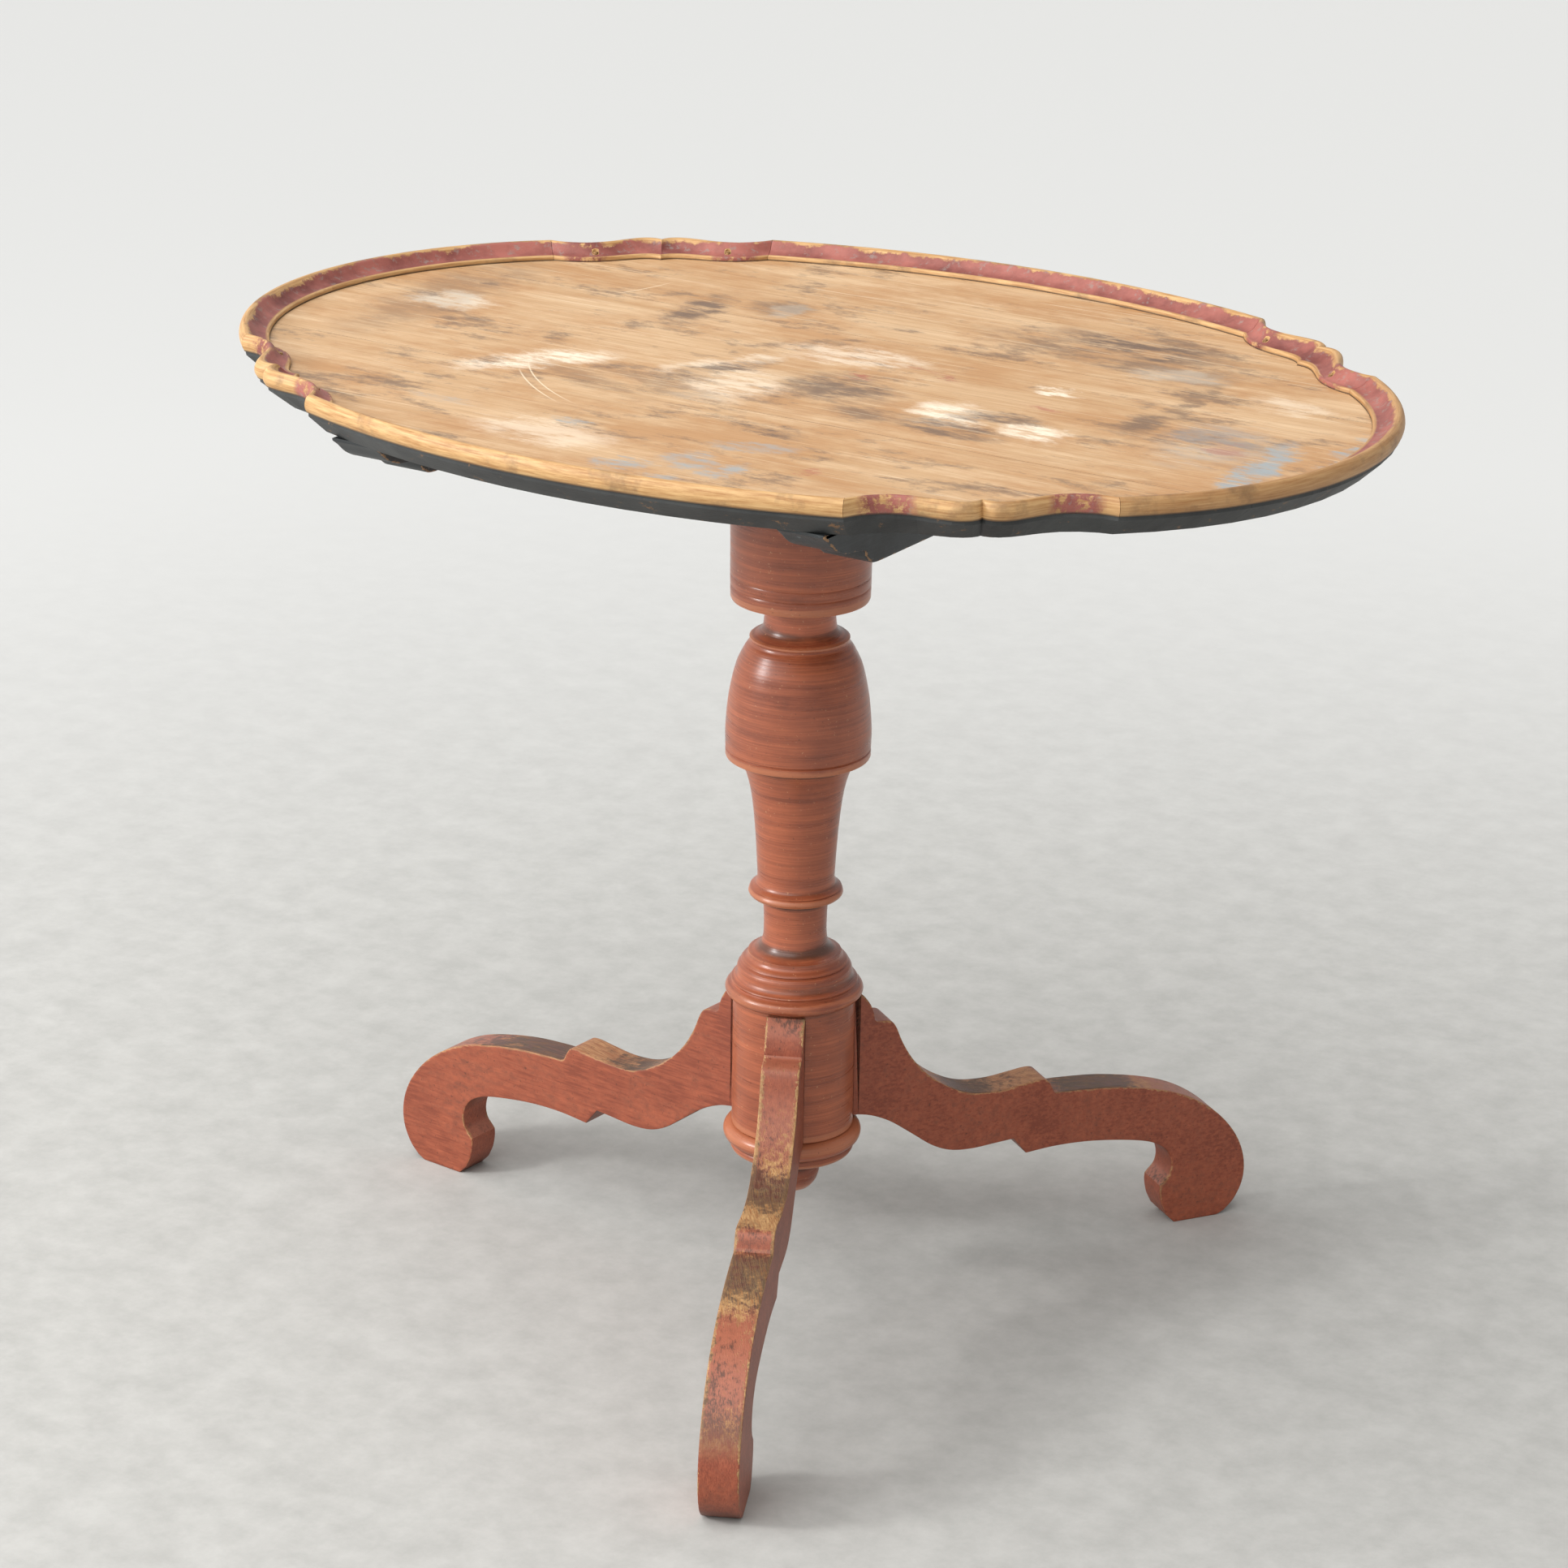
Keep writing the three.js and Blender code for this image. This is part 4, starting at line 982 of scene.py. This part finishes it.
# %% Rim material
def plum_on_moulding():
    material, tree, shader = blank_material("plum_paint_on_moulding")
    place = put(tree, "TexCoord", {}, 3)
    inset = put(tree, "Attribute", {}, 2, attribute_name="inset")
    hollow = put(tree, "Attribute", {}, 2, attribute_name="hollow")
    cloud = put(tree, "TexNoise", {"Vector": place, "Scale": 22, "Detail": 7, "Roughness": 0.65})
    nibble = put(tree, "TexNoise", {"Vector": place, "Scale": 130, "Detail": 7, "Roughness": 0.7})
    # fibres follow the rim: the way round in m, the inset and the height in mm
    axes = put(tree, "SeparateXYZ", {0: place}).node
    angle = put(tree, "Math", {0: axes.outputs[1], 1: axes.outputs[0]}, operation="ARCTAN2")
    along = put(tree, "CombineXYZ", {0: put(tree, "Math", {0: angle, 1: 12},
                                            operation="MULTIPLY"),
                                     1: put(tree, "Math", {0: inset, 1: 0.55},
                                            operation="MULTIPLY"),
                                     2: put(tree, "Math", {0: axes.outputs[2], 1: 500},
                                            operation="MULTIPLY")})
    fibre = put(tree, "TexNoise", {"Vector": along, "Scale": 1, "Detail": 6, "Roughness": 0.7})
    jitter = put(tree, "MapRange", {0: nibble, 1: 0.3, 2: 0.7, 3: -1.6, 4: 1.6})
    slow = put(tree, "MapRange", {0: cloud, 1: 0.3, 2: 0.7, 3: -3.0, 4: 3.0})
    at = put(tree, "Math", {0: put(tree, "Math", {0: inset, 1: jitter}, operation="ADD"),
                            1: slow}, operation="ADD")
    begins = put(tree, "MapRange", {0: at, 1: 7.0, 2: 8.4})
    ends = put(tree, "MapRange", {0: inset, 1: 20.2, 2: 19.0})
    cove = put(tree, "Math", {0: begins, 1: ends}, operation="MULTIPLY")
    pocket = put(tree, "MapRange", {0: put(tree, "Math", {0: hollow, 1: cloud},
                                           operation="ADD"), 1: 0.98, 2: 1.3})
    pocket = put(tree, "Math", {0: pocket, 1: put(tree, "MapRange", {0: nibble, 1: 0.4,
                                                                     2: 0.5})},
                 operation="MULTIPLY")
    paint = put(tree, "Math", {0: cove, 1: pocket}, operation="MAXIMUM")
    plum = put(tree, "Mix", {0: put(tree, "MapRange", {0: cloud, 1: 0.36, 2: 0.62}),
                             6: linear("70342D"), 7: linear("A55F53")}, 2, data_type="RGBA")
    old = put(tree, "MapRange", {0: nibble, 1: 0.56, 2: 0.64, 3: 0, 4: 0.6})
    plum = put(tree, "Mix", {0: old, 6: plum, 7: linear("8C8078")}, 2, data_type="RGBA")
    bare = put(tree, "Mix", {0: put(tree, "MapRange", {0: fibre, 1: 0.34, 2: 0.64}),
                             6: linear("A5743F"), 7: linear("D6AD76")}, 2, data_type="RGBA")
    # the bare wood is browner towards the right-hand end
    right = put(tree, "MapRange", {0: put(tree, "SeparateXYZ", {0: place}, 0), 1: 0.26,
                                   2: 0.40, 3: 0, 4: 0.45})
    bare = put(tree, "Mix", {0: right, 6: bare, 7: linear("96683E")}, 2, data_type="RGBA")
    dirty = put(tree, "MapRange", {0: cloud, 1: 0.53, 2: 0.66, 3: 0, 4: 0.65})
    bare = put(tree, "Mix", {0: dirty, 6: bare, 7: linear("6E5236")}, 2, data_type="RGBA")
    colour = put(tree, "Mix", {0: paint, 6: bare, 7: plum}, 2, data_type="RGBA")
    # the lowest strip of the moulding, at the corner of the lip and the joint against the board, is
    # darkened: partly dirt, partly painted shade in the gap
    lip = put(tree, "MapRange", {0: put(tree, "SeparateXYZ", {0: place}, 2), 1: 0.7290,
                                 2: 0.7278, 3: 0, 4: 0.85})
    colour = put(tree, "Mix", {0: lip, 6: colour, 7: linear("3A2C22")}, 2, data_type="RGBA")
    tree.links.new(colour, shader.inputs["Base Color"])
    shader.inputs["Roughness"].default_value = 0.5
    height = put(tree, "Math", {0: fibre, 1: put(tree, "Math", {0: paint, 1: 0.8},
                                                 operation="MULTIPLY")}, operation="ADD")
    bump = put(tree, "Bump", {"Strength": 0.45, "Distance": 0.0005, "Height": height})
    dents = put(tree, "Bump", {"Strength": 0.25, "Distance": 0.0012, "Height": cloud,
                               "Normal": bump})
    tree.links.new(dents, shader.inputs["Normal"])
    return material


rim_plum = plum_on_moulding()

# %% [markdown]
# ### Blue-black paint, bare oak-brown wood and iron
#
# The battens, crosshead and button wear the same blue-black as the board's edge, scuffed through
# on every arris. Pegs, dowels and wedge are bare hardwood whose end grain has gone dark, and the
# screws are forged iron with a brown film of rust.


# %% Dark paint, pegs and screws
def dark_paint():
    material, tree, shader = blank_material("blue_black_paint_on_pine")
    place = put(tree, "TexCoord", {}, 3)
    arris = put(tree, "Attribute", {}, 2, attribute_name="arris")
    cloud = put(tree, "TexNoise", {"Vector": place, "Scale": 18, "Detail": 7, "Roughness": 0.65})
    nibble = put(tree, "TexNoise", {"Vector": place, "Scale": 120, "Detail": 7, "Roughness": 0.7})
    brush = put(tree, "TexNoise", {"Vector": put(tree, "Mapping", {"Vector": place,
                                                                   "Scale": (500, 30, 500)}),
                                   "Scale": 1, "Detail": 4, "Roughness": 0.6})
    colour = put(tree, "Mix", {0: put(tree, "MapRange", {0: cloud, 1: 0.36, 2: 0.64}),
                               6: linear("202223"), 7: linear("363B3D")}, 2, data_type="RGBA")
    limit = put(tree, "MapRange", {0: nibble, 1: 0.42, 2: 0.68, 3: -0.4, 4: 2.6})
    worn = put(tree, "Math", {0: limit, 1: arris}, operation="SUBTRACT")
    bare = put(tree, "MapRange", {0: worn, 1: 0, 2: 0.3})
    colour = put(tree, "Mix", {0: bare, 6: colour, 7: linear("8A6745")}, 2, data_type="RGBA")
    dust = put(tree, "MapRange", {0: nibble, 1: 0.62, 2: 0.68, 3: 0, 4: 0.5})
    colour = put(tree, "Mix", {0: dust, 6: colour, 7: linear("7B8387")}, 2, data_type="RGBA")
    tree.links.new(colour, shader.inputs["Base Color"])
    shader.inputs["Roughness"].default_value = 0.5
    bump = put(tree, "Bump", {"Strength": 0.35, "Distance": 0.0005, "Height": brush})
    tree.links.new(bump, shader.inputs["Normal"])
    return material


def peg_wood():
    material, tree, shader = blank_material("hardwood_end_grain")
    place = put(tree, "TexCoord", {}, 3)
    pores = put(tree, "TexNoise", {"Vector": place, "Scale": 900, "Detail": 4, "Roughness": 0.7})
    colour = put(tree, "Mix", {0: put(tree, "MapRange", {0: pores, 1: 0.38, 2: 0.62}),
                               6: linear("6A4A2C"), 7: linear("B68C58")}, 2, data_type="RGBA")
    tree.links.new(colour, shader.inputs["Base Color"])
    shader.inputs["Roughness"].default_value = 0.6
    bump = put(tree, "Bump", {"Strength": 0.3, "Distance": 0.0003, "Height": pores})
    tree.links.new(bump, shader.inputs["Normal"])
    return material


def rusty_iron():
    material, tree, shader = blank_material("forged_iron")
    place = put(tree, "TexCoord", {}, 3)
    rust = put(tree, "TexNoise", {"Vector": place, "Scale": 500, "Detail": 6, "Roughness": 0.7})
    mask = put(tree, "MapRange", {0: rust, 1: 0.46, 2: 0.6})
    colour = put(tree, "Mix", {0: mask, 6: linear("4A4744"), 7: linear("5E3A24")}, 2,
                 data_type="RGBA")
    tree.links.new(colour, shader.inputs["Base Color"])
    metal = put(tree, "MapRange", {0: mask, 1: 0, 2: 1, 3: 0.9, 4: 0.1})
    tree.links.new(metal, shader.inputs["Metallic"])
    tree.links.new(put(tree, "MapRange", {0: mask, 1: 0, 2: 1, 3: 0.42, 4: 0.8}),
                   shader.inputs["Roughness"])
    return material


blue_black = dark_paint()
end_grain = peg_wood()
iron = rusty_iron()
for name in ("pivot_dowel_left", "pivot_dowel_right", "tenon_wedge"):
    dress(nodes[name], end_grain)

# %% [markdown]
# ## Put the pieces on the frame
#
# Each new piece takes the place of its CAD twin, rides on the body that the twin belongs to and
# gets its finish as a material.


# %% Hand over
def hand_over(piece, cad_node, body, material):
    dress(piece, material)
    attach(piece, body)
    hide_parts(cad_node)


hand_over(pillar, "pillar", "stand", red_turning)
hand_over(drop, "drop_finial", "stand", red_turning)
for side, leg in legs.items():
    paint = red_front_leg if side == "front" else red_side_legs
    hand_over(leg, "leg_" + side, "stand", paint)
hand_over(crosshead, "crosshead", "stand", blue_black)
for side, batten in battens.items():
    hand_over(batten, "batten_" + side, "top", blue_black)
for part, strip in rims.items():
    hand_over(strip, "rim_" + part, "top", rim_plum)
for i, peg in enumerate(pegs, 1):
    hand_over(peg, f"rim_peg_{i}", "top", end_grain)
for name, piece in screws.items():
    hand_over(piece, name, "top", iron)
hand_over(button, "turn_button", "button", blue_black)

# %% [markdown]
# ## Room, light and camera
#
# A wide pale floor of paper fills the view. One very soft overhead panel and a softbox on the
# left stand in for a studio, and the air itself is brighter on the left than on the right. The camera stands about 3 m away at eye height with a long
# lens, so the lines of the table stay nearly parallel.

# %% Floor
start_clean()
bpy.ops.mesh.primitive_plane_add(size=1, location=(0, 0, 0))
floor = bpy.context.object
floor.name = "studio_floor"
bpy.ops.object.mode_set(mode="EDIT")
bpy.ops.transform.resize(value=(16, 16, 1))
bpy.ops.object.mode_set(mode="OBJECT")
paper, paper_tree, paper_shader = blank_material("pale_studio_floor")
floor_place = put(paper_tree, "TexCoord", {}, 3)
mottle = put(paper_tree, "TexNoise", {"Vector": floor_place, "Scale": 26, "Detail": 10,
                                      "Roughness": 0.72})
paper_tone = put(paper_tree, "Mix", {0: put(paper_tree, "MapRange", {0: mottle, 1: 0.35,
                                                                     2: 0.65}),
                                     6: linear("ADACA8"), 7: linear("BBBAB6")}, 2,
                 data_type="RGBA")
# painted light: the paper is paler with distance from the table and darker round it
away = put(paper_tree, "VectorMath", {0: floor_place}, 1, operation="LENGTH")
painted_far_light = put(paper_tree, "MapRange", {0: away, 1: 0.5, 2: 2.6},
            interpolation_type="SMOOTHSTEP")
paper_tone = put(paper_tree, "Mix", {0: painted_far_light, 6: paper_tone, 7: linear("CFCFCD")}, 2,
                 data_type="RGBA")
paper_tree.links.new(paper_tone, paper_shader.inputs["Base Color"])
paper_shader.inputs["Roughness"].default_value = 0.9
paper_shader.inputs["Specular IOR Level"].default_value = 0.1
dress(floor, paper)

# %% Lights and sky
world = bpy.data.worlds.new("studio_air")
bpy.context.scene.world = world
world.use_nodes = True
background = world.node_tree.nodes["Background"]
background.inputs["Color"].default_value = linear("F2F2F2")
background.inputs["Strength"].default_value = 0.5
# the air is bright on the left of the room and dim on the right
toward = put(world.node_tree, "VectorMath", {0: put(world.node_tree, "TexCoord", {}, 0),
                                             1: (-0.84, -0.54, 0)}, 1,
             operation="DOT_PRODUCT")
side_light = put(world.node_tree, "MapRange", {0: toward, 1: -0.7, 2: 0.7, 3: 0.5, 4: 1.0})
world.node_tree.links.new(side_light, background.inputs["Strength"])


def lamp(name, kind, location, target, size, strength):
    """A soft lamp aimed at a point. Size is metres for a panel, degrees of sky for a sun."""
    data = bpy.data.lights.new(name, kind)
    if kind == "AREA":
        data.shape = "SQUARE"
        data.size = size
    else:
        data.angle = math.radians(size)
    data.energy = strength
    made = bpy.data.objects.new(name, data)
    bpy.context.scene.collection.objects.link(made)
    made.location = location
    made.rotation_mode = "QUATERNION"
    made.rotation_quaternion = (Vector(target) - Vector(location)).to_track_quat("-Z", "Y")
    return made


lamp("key_sky_panel", "SUN", (-0.7, -1.7, 2.9), (0, 0, 0), 75, 2.25)
lamp("left_softbox", "AREA", (-1.9, -2.1, 1.6), (0, 0, 0.5), 0.5, 46)

# %% Camera
camera_data = bpy.data.cameras.new("studio_camera")
camera = bpy.data.objects.new("studio_camera", camera_data)
bpy.context.scene.collection.objects.link(camera)
bpy.context.scene.camera = camera
camera_data.sensor_width = 36
camera_data.lens = 98.66
camera_data.clip_end = 60
camera.location = (1.6107, -2.5263, 1.5133)
# looks down by 20.1 degrees, turned 32.6 degrees to the left, with a slight roll
camera.rotation_euler = Euler((math.radians(90 - 20.14), 0, math.radians(32.61)), "XYZ")
roll = math.radians(0.87)
camera.rotation_euler = (camera.rotation_euler.to_matrix()
                         @ Euler((0, 0, roll), "XYZ").to_matrix()).to_euler("XYZ")
bpy.context.scene.view_settings.view_transform = "Standard"
